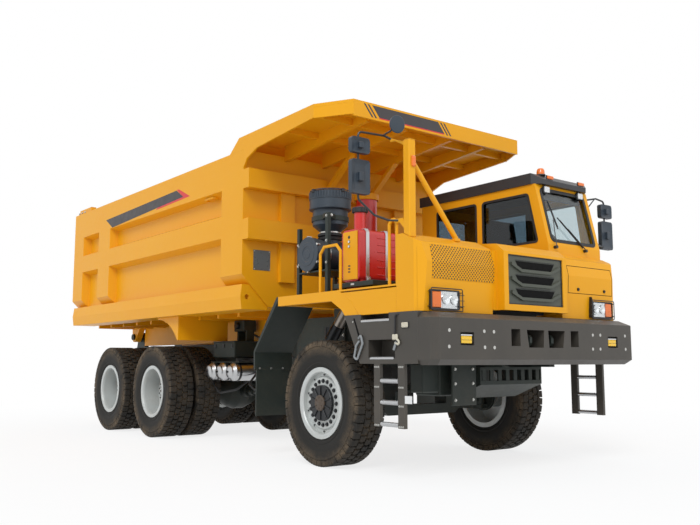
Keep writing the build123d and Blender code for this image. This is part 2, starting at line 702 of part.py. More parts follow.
# Cab: floor, pillars and panels with round-cornered windows, and a door opening on the left
cab_front = [(cab_rear_x, deck_z), (cab_front_x, deck_z), (cab_front_x, cab_waist_z),
             (cab_front_x - cab_lean, cab_roof_z), (cab_rear_x, cab_roof_z)]
inner_front_x = cab_front_x - cab_wall
cab_inner = [(cab_rear_x + cab_wall, deck_z + cab_wall), (inner_front_x, deck_z + cab_wall),
             (inner_front_x, cab_waist_z - 10), (inner_front_x - cab_lean, cab_roof_z + overcut),
             (cab_rear_x + cab_wall, cab_roof_z + overcut)]
sill_z, header_z = 2720, 3375
pillar_x = cab_front_x - 1083          # front edge of the pillar between the side windows
corner_radius = 55
window_front = [(pillar_x, sill_z), (cab_front_x - 143, sill_z), (cab_front_x - 290, header_z),
                (pillar_x, header_z)]
window_rear = [(cab_rear_x + 297, sill_z), (pillar_x - 92, sill_z), (pillar_x - 92, header_z),
               (cab_rear_x + 297, header_z)]
door_front_x = cab_front_x - 170
door_rear_x = pillar_x - 47
door_bottom_z, door_knee_z, door_top_z = deck_z + 65, 2760, cab_roof_z - 40
door_top_x = door_front_x - 100
screen_z = (sill_z + 20, cab_roof_z - 60)
screen_y = (cab_right_y + 90, cab_left_y - 90)
back_window = ((cab_right_y + 150, cab_left_y - 150), (2750, 3350))
with BuildPart() as cab:
    xz_plate(cab_front, (cab_right_y, cab_left_y))
    xz_plate(cab_inner, (cab_right_y + cab_wall, cab_left_y - cab_wall), mode=Mode.SUBTRACT)
    xz_plate(window_front, (cab_right_y - overcut, cab_right_y + cab_wall + overcut),
             mode=Mode.SUBTRACT, rounding=corner_radius)
    xz_plate(window_rear, (cab_right_y - overcut, cab_left_y + overcut), mode=Mode.SUBTRACT,
             rounding=corner_radius)
    block((cab_front_x - 270, cab_front_x + 30), screen_y, screen_z, mode=Mode.SUBTRACT)
    block((cab_rear_x - overcut, cab_rear_x + cab_wall + overcut), *back_window,
          mode=Mode.SUBTRACT)
    xz_plate([(door_rear_x, door_bottom_z), (door_front_x, door_bottom_z),
              (door_front_x, door_knee_z), (door_top_x, door_top_z), (door_rear_x, door_top_z)],
             (cab_left_y - cab_wall - overcut, cab_left_y + overcut), mode=Mode.SUBTRACT)
save(cab, "cab")

# Roof cap with a bevelled brow and cut front corners, hollow below
roof_top_z = cab_roof_z + 140
roof_front_x = cab_front_x - 120
roof_overhang = 20
roof_corner = 107
roof_skirt = 80
with BuildPart() as roof:
    roof_y = (cab_right_y - roof_overhang, cab_left_y + roof_overhang)
    xz_plate([(cab_rear_x - 30, cab_roof_z), (roof_front_x - 10, cab_roof_z),
              (roof_front_x, cab_roof_z + 60), (roof_front_x - 110, roof_top_z),
              (cab_rear_x - 30, roof_top_z)], roof_y)
    for y, inward in ((roof_y[0], 1), (roof_y[1], -1)):
        xy_plate([(roof_front_x + overcut, y + inward * (roof_corner + overcut)),
                  (roof_front_x + overcut, y - inward * overcut),
                  (roof_front_x - roof_corner - overcut, y - inward * overcut)],
                 (cab_roof_z - overcut, roof_top_z + overcut), mode=Mode.SUBTRACT)
    block((cab_rear_x + 60, cab_front_x - 290), (cab_right_y + roof_skirt, cab_left_y - roof_skirt),
          (cab_roof_z - overcut, roof_top_z - 60), mode=Mode.SUBTRACT)
save(roof, "cab_roof")

glass_thickness = 8
glass_depth = 20             # of the panes inside the walls' outer faces


def pane(opening, y_low):
    """A sheet of glass that fills a round-cornered opening seen from the side."""
    with BuildSketch(Plane.XZ.offset(-y_low)) as sheet_outline:
        with BuildLine():
            Polyline(*opening, close=True)
        make_face()
        fillet(sheet_outline.vertices(), corner_radius)
        offset(amount=-seat_gap, kind=Kind.INTERSECTION)
    extrude(sheet_outline.sketch, amount=-glass_thickness)


def drawn_in(span):
    """A span made shorter by the seat gap at both ends."""
    return span[0] + seat_gap, span[1] - seat_gap


with BuildPart() as cab_glass:
    low, high = drawn_in(screen_z)
    near, far = glass_depth, glass_depth - glass_thickness
    xz_plate([(screen_x(low) - near, low), (screen_x(low) - far, low),
              (screen_x(high) - far, high), (screen_x(high) - near, high)], drawn_in(screen_y))
    pane(window_front, cab_right_y + glass_depth)
    for y in (cab_right_y + glass_depth, cab_left_y - glass_depth - glass_thickness):
        pane(window_rear, y)
    block((cab_rear_x + glass_depth, cab_rear_x + glass_depth + glass_thickness),
          drawn_in(back_window[0]), drawn_in(back_window[1]))
save(cab_glass, "cab_glass")

# Seat, dash and steering wheel
seat_x, seat_y = cab_front_x - 970, (cab_right_y + cab_left_y) / 2
seat_half, seat_width_half = 260, 240
cushion_z = 2480
dash_rear_x = cab_front_x - 350
dash_top_z = 2660
with BuildPart() as cab_interior:
    floor_top = deck_z + cab_wall
    seat_span = (seat_y - seat_width_half, seat_y + seat_width_half)
    block((seat_x - seat_half, seat_x + seat_half), seat_span, (floor_top, cushion_z))
    xz_plate([(seat_x - seat_half, cushion_z), (seat_x + seat_half, cushion_z),
              (seat_x + seat_half, cushion_z + 80), (seat_x - 120, cushion_z + 80),
              (seat_x - 220, cushion_z + 700), (seat_x - 330, cushion_z + 700)], seat_span)
    block((dash_rear_x, inner_front_x), (cab_right_y + 60, cab_left_y - 60),
          (floor_top, dash_top_z))
    bar((dash_rear_x, seat_y, dash_top_z - 100), (dash_rear_x - 180, seat_y, dash_top_z + 80), 30)
    bar((dash_rear_x - 170, seat_y, dash_top_z + 70), (dash_rear_x - 190, seat_y, dash_top_z + 90),
        230)
save(cab_interior, "cab_interior")

# Door on the left, hung at its front edge, with its own glass
door_gap = 6
door_hinge_radius = 16
door_hinge_y = cab_left_y + door_hinge_radius
door_hinge_levels = (2300, 2640)
door_hinge_height = 60
leaf_length, leaf_plate = 90, 12
door_outline = [(door_rear_x + door_gap, door_bottom_z + door_gap),
                (door_front_x - door_gap, door_bottom_z + door_gap),
                (door_front_x - door_gap, door_knee_z - 2),
                (door_top_x - door_gap, door_top_z - door_gap),
                (door_rear_x + door_gap, door_top_z - door_gap)]
door_window = [(door_rear_x + 80, sill_z + 20), (door_front_x - 80, sill_z + 20),
               (door_front_x - 165, header_z - 5), (door_rear_x + 80, header_z - 5)]
with BuildPart() as door:
    xz_plate(door_outline, (cab_left_y - cab_wall, cab_left_y))
    xz_plate(door_window, (cab_left_y - cab_wall - overcut, cab_left_y + overcut),
             mode=Mode.SUBTRACT, rounding=corner_radius)
    for z in door_hinge_levels:
        block((door_front_x - leaf_length, door_front_x), (cab_left_y, cab_left_y + leaf_plate),
              (z, z + door_hinge_height))
        bar((door_front_x, door_hinge_y, z), (door_front_x, door_hinge_y, z + door_hinge_height),
            door_hinge_radius - seat_gap)
save(door, "cab_door")

with BuildPart() as door_glass:
    pane(door_window, cab_left_y - 30)
save(door_glass, "door_glass")

# Fuel tank on its bracket, with two straps and a filler neck
tank_x, tank_y = (front_x - 1700, front_x - 1380), (-1600, -900)
tank_z = (2174, 2781)
tank_round = 60
strap_width, strap_proud = 46, 6
strap_levels_y = (-1480, -1180)
tank_mid_x, tank_mid_z = sum(tank_x) / 2, sum(tank_z) / 2
neck_y, neck_radius, cap_low_z, cap_high_z = -1460, 70, 3000, 3060


def tank_ring(y_span, proud):
    """A stretch of the tank's rounded section, standing proud of it by a little."""
    low, high = sorted(y_span)
    with BuildSketch(Plane.XZ.offset(-low)) as section:
        with Locations((tank_mid_x, tank_mid_z)):
            RectangleRounded(tank_x[1] - tank_x[0] + 2 * proud, tank_z[1] - tank_z[0] + 2 * proud,
                             tank_round + proud)
    extrude(section.sketch, amount=low - high)


with BuildPart() as tank:
    tank_ring(tank_y, 0)
    for y in strap_levels_y:
        tank_ring((y - strap_width / 2, y + strap_width / 2), strap_proud)
    block((tank_x[0] + 20, tank_x[1] - 20), (tank_y[0] + 40, tank_y[1] - 40),
          (deck_z, tank_z[0] + 40))
    bar((tank_mid_x, neck_y, tank_z[1] - 10), (tank_mid_x, neck_y, cap_low_z), neck_radius)
    bar((tank_mid_x, neck_y, cap_low_z), (tank_mid_x, neck_y, cap_high_z), neck_radius + 20)
save(tank, "fuel_tank")

# Air cleaner: a lying canister with end caps, and a standing pre-cleaner on its neck
canister_x, canister_z = deck_rear_x + 460, 2580
canister_y = (-1600, -960)
canister_radius, cap_proud, cap_width = 203, 12, 70
drum_x, drum_y = canister_x + 63, -1300
drum_radius, drum_top_radius = 225, 265
drum_z = (2960, 3150, 3400)
with BuildPart() as air_cleaner:
    bar((canister_x, canister_y[0], canister_z), (canister_x, canister_y[1], canister_z),
        canister_radius)
    for y in (canister_y[0], canister_y[1] - cap_width):
        bar((canister_x, y, canister_z), (canister_x, y + cap_width, canister_z),
            canister_radius + cap_proud)
    stood([(0, canister_z), (130, canister_z), (130, 2880), (drum_radius, drum_z[0]),
           (drum_radius, drum_z[1]), (drum_top_radius, drum_z[1] + 10),
           (drum_top_radius, drum_z[2] - 20), (drum_top_radius - 30, drum_z[2]), (0, drum_z[2])],
          (drum_x, drum_y, 0))
save(air_cleaner, "air_cleaner")

# Stand of the air cleaner: a shelf on four legs, two of them tall, with a band round the drum
shelf_z = canister_z - canister_radius - cap_proud
leg_half = 25
leg_rear_x, leg_front_x = canister_x - 247, canister_x + 360
stand_outer_y, stand_inner_y = -1555, -985
band_z, band_radius = (3010, 3070), drum_radius + 14
with BuildPart() as filter_stand:
    for x, top_z in ((leg_rear_x, 2935), (leg_front_x, band_z[1])):
        block((x - leg_half, x + leg_half), (stand_outer_y - leg_half, stand_outer_y + leg_half),
              (deck_z, top_z))
        block((x - leg_half, x + leg_half), (stand_inner_y - leg_half, stand_inner_y + leg_half),
              (deck_z, shelf_z))
    block((leg_rear_x - leg_half, leg_front_x + leg_half),
          (stand_outer_y - leg_half, stand_inner_y + leg_half), (shelf_z - deck_plate, shelf_z))
    bar((drum_x, drum_y, band_z[0]), (drum_x, drum_y, band_z[1]), band_radius)
    xy_plate([(leg_front_x - leg_half, stand_outer_y - leg_half),
              (leg_front_x + leg_half, stand_outer_y - leg_half),
              (leg_front_x + leg_half, stand_outer_y + leg_half),
              (drum_x + 170, drum_y), (drum_x, drum_y - 170)], band_z)
    bar((drum_x, drum_y, band_z[0] - overcut), (drum_x, drum_y, band_z[1] + overcut),
        drum_radius + seat_gap, mode=Mode.SUBTRACT)
save(filter_stand, "filter_stand")


def nose_top(x):
    """Height of the nose box's sloping top edge."""
    share = (x - nose_crest_x) / (nose_brow_x - nose_crest_x)
    return nose_crest_z + share * (nose_brow_z - nose_crest_z)


# Mirrors: a tall post with a brace on the right nose box, and a bent frame on the cab's left
post_x = (front_x - 465, front_x - 365)
post_y = (-1740, -1640)
post_top_z = 3600
post_mid_x, post_mid_y = sum(post_x) / 2, sum(post_y) / 2
mirror_x, mirror_y = front_x - 765, 2230
left_mirror_x = front_x - 615
frame_radius, frame_bend = 16, 50
frame_y = mirror_y - 120
mirror_width, mirror_depth = 250, 60
right_heads = ((3010, 3384), (3456, 3628))
right_frame_z = (2960, 3700)
right_root_z = (2765, post_top_z - 45)
left_heads = ((2758, 3145), (3191, 3380))
left_arm_z = (2790, 3400)
round_mirror_radius = 95
brace_foot_y = -1000


def mirror_head(x, y_outer, side, z_span):
    """A rounded mirror housing in front of its frame's upright."""
    with BuildSketch(Plane.YZ.offset(x - frame_radius)) as face:
        with Locations((y_outer - side * mirror_width / 2, sum(z_span) / 2)):
            RectangleRounded(mirror_width, z_span[1] - z_span[0], 30)
    extrude(face.sketch, amount=mirror_depth)


with BuildPart() as mirrors:
    xz_plate([(post_x[0], nose_top(post_x[0])), (post_x[1], nose_top(post_x[1])),
              (post_x[1], post_top_z), (post_x[0], post_top_z)], post_y)
    foot_x = (post_mid_x - 40, post_mid_x + 40)
    xz_plate([(foot_x[0], nose_top(foot_x[0])), (foot_x[1], nose_top(foot_x[1])),
              (foot_x[1], nose_top(foot_x[1]) + 30), (foot_x[0], nose_top(foot_x[0]) + 30)],
             (brace_foot_y - 40, brace_foot_y + 40))
    bar((post_mid_x, post_mid_y, post_top_z - 200),
        (post_mid_x, brace_foot_y, nose_top(post_mid_x) + 30), 22)
    ends = [(post_mid_x, post_mid_y, z) for z in right_root_z]
    bends = [(mirror_x, -frame_y, z) for z in right_frame_z]
    bent_tube([ends[0], *bends, ends[1]], frame_radius, frame_bend)
    for z_span in right_heads:
        mirror_head(mirror_x, -mirror_y, -1, z_span)
    round_y, round_z = post_mid_y - 153, post_top_z + 103
    bent_tube([(post_mid_x, post_mid_y, post_top_z - 10), (post_mid_x, post_mid_y, round_z),
               (post_mid_x, round_y, round_z)], frame_radius - 4, 40)
    bar((post_mid_x + 14, round_y, round_z), (post_mid_x - 14, round_y - 6, round_z - 4),
        round_mirror_radius)
    roots = [(screen_x(z) - 48, cab_left_y - 20, z) for z in left_arm_z]
    bends = [(left_mirror_x, frame_y, z) for z in left_arm_z]
    bent_tube([roots[0], *bends, roots[1]], frame_radius, frame_bend)
    for x, y, z in roots:
        block((x - 40, x + 40), (y - 40, cab_left_y + seat_gap), (z - 40, z + 40),
              mode=Mode.SUBTRACT)
    for z_span in left_heads:
        mirror_head(left_mirror_x, mirror_y, 1, z_span)
save(mirrors, "mirrors")

# Handrails at the edge of the right deck and behind the nose
rail_y, handrail_radius = -1700, 18
with BuildPart() as handrails:
    for x_low, x_high, top_z, bend in ((axle_1_x + 110, axle_1_x + 510, 2610, 80),
                                       (nose_back_x - 154, nose_back_x - 29, 2770, 45)):
        bent_tube([(x_low, rail_y, deck_z), (x_low, rail_y, top_z), (x_high, rail_y, top_z),
                   (x_high, rail_y, deck_z)], handrail_radius, bend)
save(handrails, "handrails")

# Air tanks across the chassis, the box above them, the battery box and the exhaust
air_tank_x = (axle_2_x + 995, axle_2_x + 1325, axle_2_x + 1655)
air_tank_z, air_tank_radius, air_tank_end_y = 1085, 140, 1080
carrier_x = (air_tank_x[0] - 140, air_tank_x[2] + 140)
with BuildPart() as air_tanks:
    for x in air_tank_x:
        bar((x, -air_tank_end_y, air_tank_z), (x, -rail_outer_y - 40, air_tank_z),
            air_tank_radius)
    ends = air_tanks.edges().filter_by(GeomType.CIRCLE).sort_by(Axis.Y)[:len(air_tank_x)]
    chamfer(ends, 45)
    block(carrier_x, (-rail_outer_y - 60, -rail_outer_y), (1060, 1300))
save(air_tanks, "air_tanks")

with BuildPart() as battery_box:
    block(carrier_x, (rail_outer_y, 1100), (1000, 1420))
save(battery_box, "battery_box")

exhaust_x, exhaust_y, exhaust_z = hoist_x + 240, -840, 1400
exhaust_radius = 75
with BuildPart() as exhaust:
    bar((exhaust_x, -rail_outer_y, exhaust_z), (exhaust_x, exhaust_y, exhaust_z), exhaust_radius)
    bar((exhaust_x, exhaust_y, exhaust_z), (exhaust_x, exhaust_y, exhaust_z + 300),
        exhaust_radius)
    block((exhaust_x - exhaust_radius, exhaust_x + exhaust_radius),
          (exhaust_y - exhaust_radius, exhaust_y + exhaust_radius),
          (exhaust_z - exhaust_radius, exhaust_z + exhaust_radius))
save(exhaust, "exhaust")

# Tub floor on two long beams and cross ribs, with lugs round the pivot shaft
floor_top_z = tub_floor_z + tub_floor_thickness
panel_front_x = tub_front_x - tub_plate
rib_count, rib_width, rib_low_z = 10, 60, 1900
first_rib_x, last_rib_x = rear_x + 285, panel_front_x - 850
floor_beam_x = (pivot_x + 230, panel_front_x - 290)
floor_beam_y = (360, 470)
floor_beam_low_z = 1560
lug_y = (rail_outer_y + 20, rail_outer_y + 140)
with BuildPart() as floor:
    block((rear_x, panel_front_x), (-floor_half_width, floor_half_width),
          (tub_floor_z, floor_top_z))
    for rib in range(rib_count):
        x = first_rib_x + rib * (last_rib_x - first_rib_x) / (rib_count - 1)
        block((x, x + rib_width), (-floor_half_width, floor_half_width),
              (rib_low_z, tub_floor_z))
    for side in sides.values():
        block(floor_beam_x, [side * y for y in floor_beam_y], (floor_beam_low_z, tub_floor_z))
        lug = [(pivot_x - 110, tub_floor_z), (pivot_x + 330, tub_floor_z),
               (pivot_x + 85, pivot_z - 50), (pivot_x - 85, pivot_z - 50)]
        xz_plate(lug, [side * y for y in lug_y])
        bar((pivot_x, side * lug_y[0], pivot_z), (pivot_x, side * lug_y[1], pivot_z), 100)
    bar((pivot_x, -lug_y[1] - overcut, pivot_z), (pivot_x, lug_y[1] + overcut, pivot_z),
        pivot_pin_radius + pin_gap, mode=Mode.SUBTRACT)
save(floor, "tub_floor")

# Tub sides: plate with its lower slope, top band, flared posts, middle rib, edge rail and lug
wall_y = half_body - post_depth
slope_foot_y = floor_half_width + floor_lip
slope_top_z = tub_floor_z + wall_y - slope_foot_y
band_low_z = 3690
rib_z = (2990, 3310)
edge_top_z, edge_low_z = slope_top_z + 8, tub_floor_z - 43
edge_nose_z = (edge_top_z + edge_low_z) / 2
edge_top_y, edge_low_y = half_body - 25, half_body - 21
edge_hole_radius = 35
post_spans = [(rear_x, rear_x + 504), (rear_x + 1312, rear_x + 1860),
              (panel_front_x - 570, panel_front_x)]
gate_hinge_x, gate_hinge_z, gate_pin_radius = rear_x + 85, 4240, 35
gate_arm_y = (wall_y - tub_wall - 150, wall_y - tub_wall - 50)
hinge_lug_x, hinge_lug_top_z = rear_x + 614, tub_top_z + 120
for name, side in sides.items():
    with BuildPart() as tub_side:
        wall = [(wall_y, tub_top_z), (wall_y, slope_top_z), (slope_foot_y, tub_floor_z),
                (floor_half_width, tub_floor_z), (floor_half_width, floor_top_z),
                (wall_y - tub_wall, floor_top_z + wall_y - tub_wall - floor_half_width),
                (wall_y - tub_wall, tub_top_z)]
        yz_plate(on_side(wall, side), (rear_x, panel_front_x))
        for low, high in post_spans:
            flare_low = post_flare if low > rear_x else 0
            flare_high = post_flare if high < panel_front_x else 0
            xy_plate([(low - flare_low, side * (wall_y - overcut)), (low, side * half_body),
                      (high, side * half_body), (high + flare_high, side * (wall_y - overcut))],
                     (slope_top_z, band_low_z))
        foot = [(wall_y, slope_top_z), (half_body + overcut, slope_top_z + post_depth + overcut),
                (half_body + overcut, slope_top_z - overcut), (wall_y, slope_top_z - overcut)]
        yz_plate(on_side(foot, side), (rear_x - overcut, panel_front_x + overcut),
                 mode=Mode.SUBTRACT)
        band = [(wall_y, tub_top_z), (half_body, tub_top_z), (half_body, band_low_z),
                (wall_y, band_low_z - 50)]
        yz_plate(on_side(band, side), (rear_x, panel_front_x))
        rib = [(wall_y, rib_z[1] + 60), (half_body, rib_z[1]), (half_body, rib_z[0]),
               (wall_y, rib_z[0] - 60)]
        yz_plate(on_side(rib, side), (rear_x, panel_front_x))
        edge = [(wall_y - overcut, edge_top_z), (edge_top_y, edge_top_z),
                (half_body, edge_nose_z), (edge_low_y, edge_low_z), (slope_foot_y, edge_low_z),
                (slope_foot_y, tub_floor_z), (wall_y - overcut, slope_top_z - overcut)]
        yz_plate(on_side(edge, side), (rear_x + 50, panel_front_x))
        hole_y = side * (wall_y + 40)
        bar((panel_front_x - 60, hole_y, edge_nose_z), (panel_front_x + overcut, hole_y,
            edge_nose_z), edge_hole_radius, mode=Mode.SUBTRACT)
        block((rear_x, hinge_lug_x), (side * (wall_y - tub_wall), side * (wall_y + 60)),
              (tub_top_z, hinge_lug_top_z))
        bar((gate_hinge_x, side * (gate_arm_y[0] - hinge_gap), gate_hinge_z),
            (gate_hinge_x, side * (wall_y + 10), gate_hinge_z), gate_pin_radius)
    save(tub_side, f"tub_side_{name}")

# Tub front wall with two cross beams, upright ribs and the hoist's trunnion arms
front_outline = [(half_body, tub_top_z), (half_body, slope_top_z + post_depth),
                 (slope_foot_y, tub_floor_z), (-slope_foot_y, tub_floor_z),
                 (-half_body, slope_top_z + post_depth), (-half_body, tub_top_z)]
wall_beam_depth = 150
upper_beam_z, lower_beam_z = (3625, 3895), (2911, 3198)
upright_y, upright_depth = (953, 1190), 60
arm_in, arm_out = hoist_radii[0] + 20, hoist_radii[0] + 60
with BuildPart() as front_wall:
    yz_plate(front_outline, (panel_front_x, tub_front_x))
    for z_span in (upper_beam_z, lower_beam_z):
        block((tub_front_x, tub_front_x + wall_beam_depth), (-half_body, half_body), z_span)
    for side in sides.values():
        block((tub_front_x, tub_front_x + upright_depth), [side * y for y in upright_y],
              (2350, upper_beam_z[1]))
        xz_plate([(tub_front_x, 2400), (tub_front_x, lower_beam_z[1]),
                  (hoist_x + 40, trunnion_z + 100), (hoist_x + 100, trunnion_z),
                  (hoist_x + 40, trunnion_z - 100)], (side * arm_in, side * arm_out))
    bar((hoist_x, -400, trunnion_z), (hoist_x, 400, trunnion_z), trunnion_radius + pin_gap,
        mode=Mode.SUBTRACT)
save(front_wall, "tub_front_wall")

# Canopy over the cab: sheet, lips round a tapered front, ribs below and two struts to the wall
canopy_start_x, canopy_rise_x = tub_front_x - 387, tub_front_x - 135
canopy_front_x = front_x - 1598
canopy_taper_x = canopy_front_x - 453
canopy_taper = 278
canopy_rise_z, canopy_top_z = 4371, 4412
canopy_sheet, canopy_lip = 40, 30
lip_low_z = 4205
rib_rear_z, rib_front_z, rib_plate = 4110, 4270, 60
rib_end_x = canopy_taper_x + 200
strut_y = 410


def canopy_z(x):
    """Height of the canopy's upper face ahead of its rise."""
    share = (x - canopy_rise_x) / (canopy_front_x - canopy_rise_x)
    return canopy_rise_z + share * (canopy_top_z - canopy_rise_z)


def rib_low(x):
    """Height of the lower edge of the canopy's long ribs."""
    share = (x - tub_front_x) / (rib_end_x - tub_front_x)
    return rib_rear_z + share * (rib_front_z - rib_rear_z)


with BuildPart() as canopy:
    xz_plate([(canopy_start_x, tub_top_z), (canopy_rise_x, canopy_rise_z),
              (canopy_front_x, canopy_top_z), (canopy_front_x, canopy_top_z - canopy_sheet),
              (canopy_rise_x, canopy_rise_z - canopy_sheet), (canopy_start_x + 60, tub_top_z)],
             (-half_body, half_body))
    for side in sides.values():
        xz_plate([(canopy_start_x, tub_top_z), (canopy_rise_x, canopy_rise_z),
                  (canopy_taper_x, canopy_z(canopy_taper_x)), (canopy_taper_x, lip_low_z + 26),
                  (tub_front_x + 343, 4136), (tub_front_x + 90, 4040), (tub_front_x, 3928),
                  (tub_front_x, tub_top_z)], (side * half_body, side * (half_body - canopy_lip)))
        xy_plate([(canopy_taper_x, side * (half_body + 1)),
                  (canopy_front_x + 1, side * (half_body - canopy_taper)),
                  (canopy_front_x + 1, side * (half_body + 1))],
                 (lip_low_z - 200, canopy_top_z + overcut), mode=Mode.SUBTRACT)
        xy_plate([(canopy_taper_x, side * half_body),
                  (canopy_front_x, side * (half_body - canopy_taper)),
                  (canopy_front_x - canopy_lip, side * (half_body - canopy_taper)),
                  (canopy_taper_x, side * (half_body - canopy_lip))],
                 (lip_low_z + 20, canopy_z(canopy_taper_x) - 10))
        for y in (strut_y, upright_y[1] - 120):
            xz_plate([(tub_front_x, canopy_z(tub_front_x) - canopy_sheet),
                      (rib_end_x, canopy_z(rib_end_x) - canopy_sheet), (rib_end_x, rib_front_z),
                      (tub_front_x, rib_rear_z)],
                     (side * (y - rib_plate / 2), side * (y + rib_plate / 2)))
        beam_face_x = tub_front_x + wall_beam_depth
        xz_plate([(beam_face_x, 3725), (beam_face_x + 570, rib_low(beam_face_x + 570)),
                  (beam_face_x + 480, rib_low(beam_face_x + 480)), (beam_face_x, 3805)],
                 (side * (strut_y - 45), side * (strut_y + 45)))
    for x in (tub_front_x + 790, canopy_taper_x - 110):
        under = canopy_z(x) - canopy_sheet
        block((x - 30, x + 30), (-half_body + canopy_lip, half_body - canopy_lip),
              (under - 80, under + 10))
    block((canopy_front_x - canopy_lip, canopy_front_x),
          (-half_body + canopy_taper, half_body - canopy_taper),
          (lip_low_z, canopy_top_z - canopy_sheet / 2))
save(canopy, "canopy")

# Rock guards ahead of the middle axle, hung from the tub, each with a curved cheek
guard_x = (axle_2_x + 940, axle_2_x + 970)
guard_y = (748, 1640)
guard_foot_z = 1577
cheek_rear_x, cheek_plate = guard_x[0] - 725, 30
with BuildPart() as rock_guards:
    for side in sides.values():
        hanger = [(guard_y[0], guard_foot_z), (guard_y[1], guard_foot_z),
                  (guard_y[1], edge_low_z), (slope_foot_y, edge_low_z),
                  (slope_foot_y - floor_lip, edge_low_z), (slope_foot_y - floor_lip, tub_floor_z),
                  (guard_y[0], tub_floor_z)]
        yz_plate(on_side(hanger, side), guard_x)
        cheek_y = sorted((side * guard_y[1], side * (guard_y[1] - cheek_plate)))
        with BuildSketch(Plane.XZ.offset(-cheek_y[0])) as cheek:
            with BuildLine():
                Polyline((guard_x[0], guard_foot_z), (guard_x[0], edge_low_z),
                         (cheek_rear_x, edge_low_z), (cheek_rear_x, edge_low_z - 30))
                ThreePointArc((cheek_rear_x, edge_low_z - 30), (guard_x[0] - 270, 1810),
                              (guard_x[0], guard_foot_z))
            make_face()
        extrude(cheek.sketch, amount=-cheek_plate)
save(rock_guards, "rock_guards")

# Tailgate between the sides, hung from arms at its top
gate_y = wall_y - tub_wall - hinge_gap
gate_low_z = floor_top_z + hinge_gap
gate_top_z = 4100
gate_slope_z = gate_low_z + gate_y - floor_half_width
gate_face_x, gate_plate = rear_x + 40, 40
gate_rib_levels, gate_rib_height, gate_rib_y = (2100, 2750, 3400, 3960), 140, floor_half_width + 40
gate_outline = [(gate_y, gate_top_z), (gate_y, gate_slope_z), (floor_half_width, gate_low_z),
                (-floor_half_width, gate_low_z), (-gate_y, gate_slope_z), (-gate_y, gate_top_z)]
with BuildPart() as gate:
    yz_plate(gate_outline, (gate_face_x, gate_face_x + gate_plate))
    for z in gate_rib_levels:
        block((rear_x, gate_face_x), (-gate_rib_y, gate_rib_y), (z, z + gate_rib_height))
    for side in sides.values():
        arm_y = [side * y for y in gate_arm_y]
        bar((gate_hinge_x, arm_y[0], gate_hinge_z), (gate_hinge_x, arm_y[1], gate_hinge_z), 70)
        block((gate_face_x, gate_hinge_x + 50), arm_y, (gate_top_z - 100, gate_hinge_z))
    bar((gate_hinge_x, -gate_y, gate_hinge_z), (gate_hinge_x, gate_y, gate_hinge_z),
        gate_pin_radius + pin_gap, mode=Mode.SUBTRACT)
save(gate, "tailgate")

# Hoist: an outer tube on trunnions, and four stages that slide out downwards
stage_bottom_z = [hoist_bottom_z, 1440, 1400, 1360, hoist_eye_z]
stage_top_z = [hoist_top_z, 3560, 3520, 3480, 3440]
collar_low_z, tube_ceiling_z, collar_radius = hoist_top_z - 80, hoist_top_z - 100, 172
eye_radius, eye_half = 92, 88


def hoist_bar(low, high, radius, mode=Mode.ADD):
    """A round bar upright on the hoist's line."""
    bar((hoist_x, 0, low), (hoist_x, 0, high), radius, mode)


with BuildPart() as hoist_tube:
    hoist_bar(hoist_bottom_z, hoist_top_z, hoist_radii[0])
    hoist_bar(collar_low_z, hoist_top_z, collar_radius)
    bar((hoist_x, -arm_out, trunnion_z), (hoist_x, arm_out, trunnion_z), trunnion_radius)
    hoist_bar(hoist_bottom_z + gland_height, tube_ceiling_z, hoist_radii[0] - hoist_wall,
              Mode.SUBTRACT)
    hoist_bar(hoist_bottom_z - overcut, tube_ceiling_z, hoist_radii[1] + seat_gap, Mode.SUBTRACT)
save(hoist_tube, "hoist_tube")

last_stage = len(hoist_radii) - 1
for number in range(1, last_stage + 1):
    radius = hoist_radii[number]
    low, high = stage_bottom_z[number], stage_top_z[number]
    with BuildPart() as stage:
        hoist_bar(low, high, radius)
        if number < last_stage:
            hoist_bar(low + gland_height, high + overcut, radius - stage_wall, Mode.SUBTRACT)
            hoist_bar(low - overcut, high, hoist_radii[number + 1] + seat_gap, Mode.SUBTRACT)
        else:
            bar((hoist_x, -eye_half, low), (hoist_x, eye_half, low), eye_radius)
            bar((hoist_x, -eye_half - overcut, low), (hoist_x, eye_half + overcut, low),
                eye_pin_radius, mode=Mode.SUBTRACT)
    save(stage, f"hoist_stage_{number}")
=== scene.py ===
"""Finish of a mining dump truck: paint, tyres, lamps, glass and fittings round its solid parts."""
import json
import math

import bmesh
import bpy
from mathutils import Matrix, Vector


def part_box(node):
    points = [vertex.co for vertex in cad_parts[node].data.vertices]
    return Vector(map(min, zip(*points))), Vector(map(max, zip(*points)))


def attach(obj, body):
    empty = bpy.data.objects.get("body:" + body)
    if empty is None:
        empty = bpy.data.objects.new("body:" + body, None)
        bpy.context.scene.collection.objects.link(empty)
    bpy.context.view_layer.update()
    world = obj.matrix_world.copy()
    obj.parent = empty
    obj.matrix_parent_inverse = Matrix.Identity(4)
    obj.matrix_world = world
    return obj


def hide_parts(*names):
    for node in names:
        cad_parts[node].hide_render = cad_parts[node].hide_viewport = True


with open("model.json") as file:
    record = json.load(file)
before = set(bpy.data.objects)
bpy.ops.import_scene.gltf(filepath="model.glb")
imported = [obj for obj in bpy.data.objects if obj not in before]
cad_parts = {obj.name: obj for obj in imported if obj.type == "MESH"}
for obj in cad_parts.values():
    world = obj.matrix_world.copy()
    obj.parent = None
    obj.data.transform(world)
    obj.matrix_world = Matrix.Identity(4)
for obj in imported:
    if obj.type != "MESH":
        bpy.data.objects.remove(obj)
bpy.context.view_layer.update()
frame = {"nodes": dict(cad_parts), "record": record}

bl_info = {
    "name": "Mining dump truck finish",
    "version": (1, 0, 0),
    "blender": (4, 5, 0),
    "location": "View3D > Sidebar > Truck",
    "description": "Dresses a mining dump truck with paint, tyres, lamps, glass and fittings",
    "category": "Object",
}

SIDES = (("right", -1), ("left", 1))

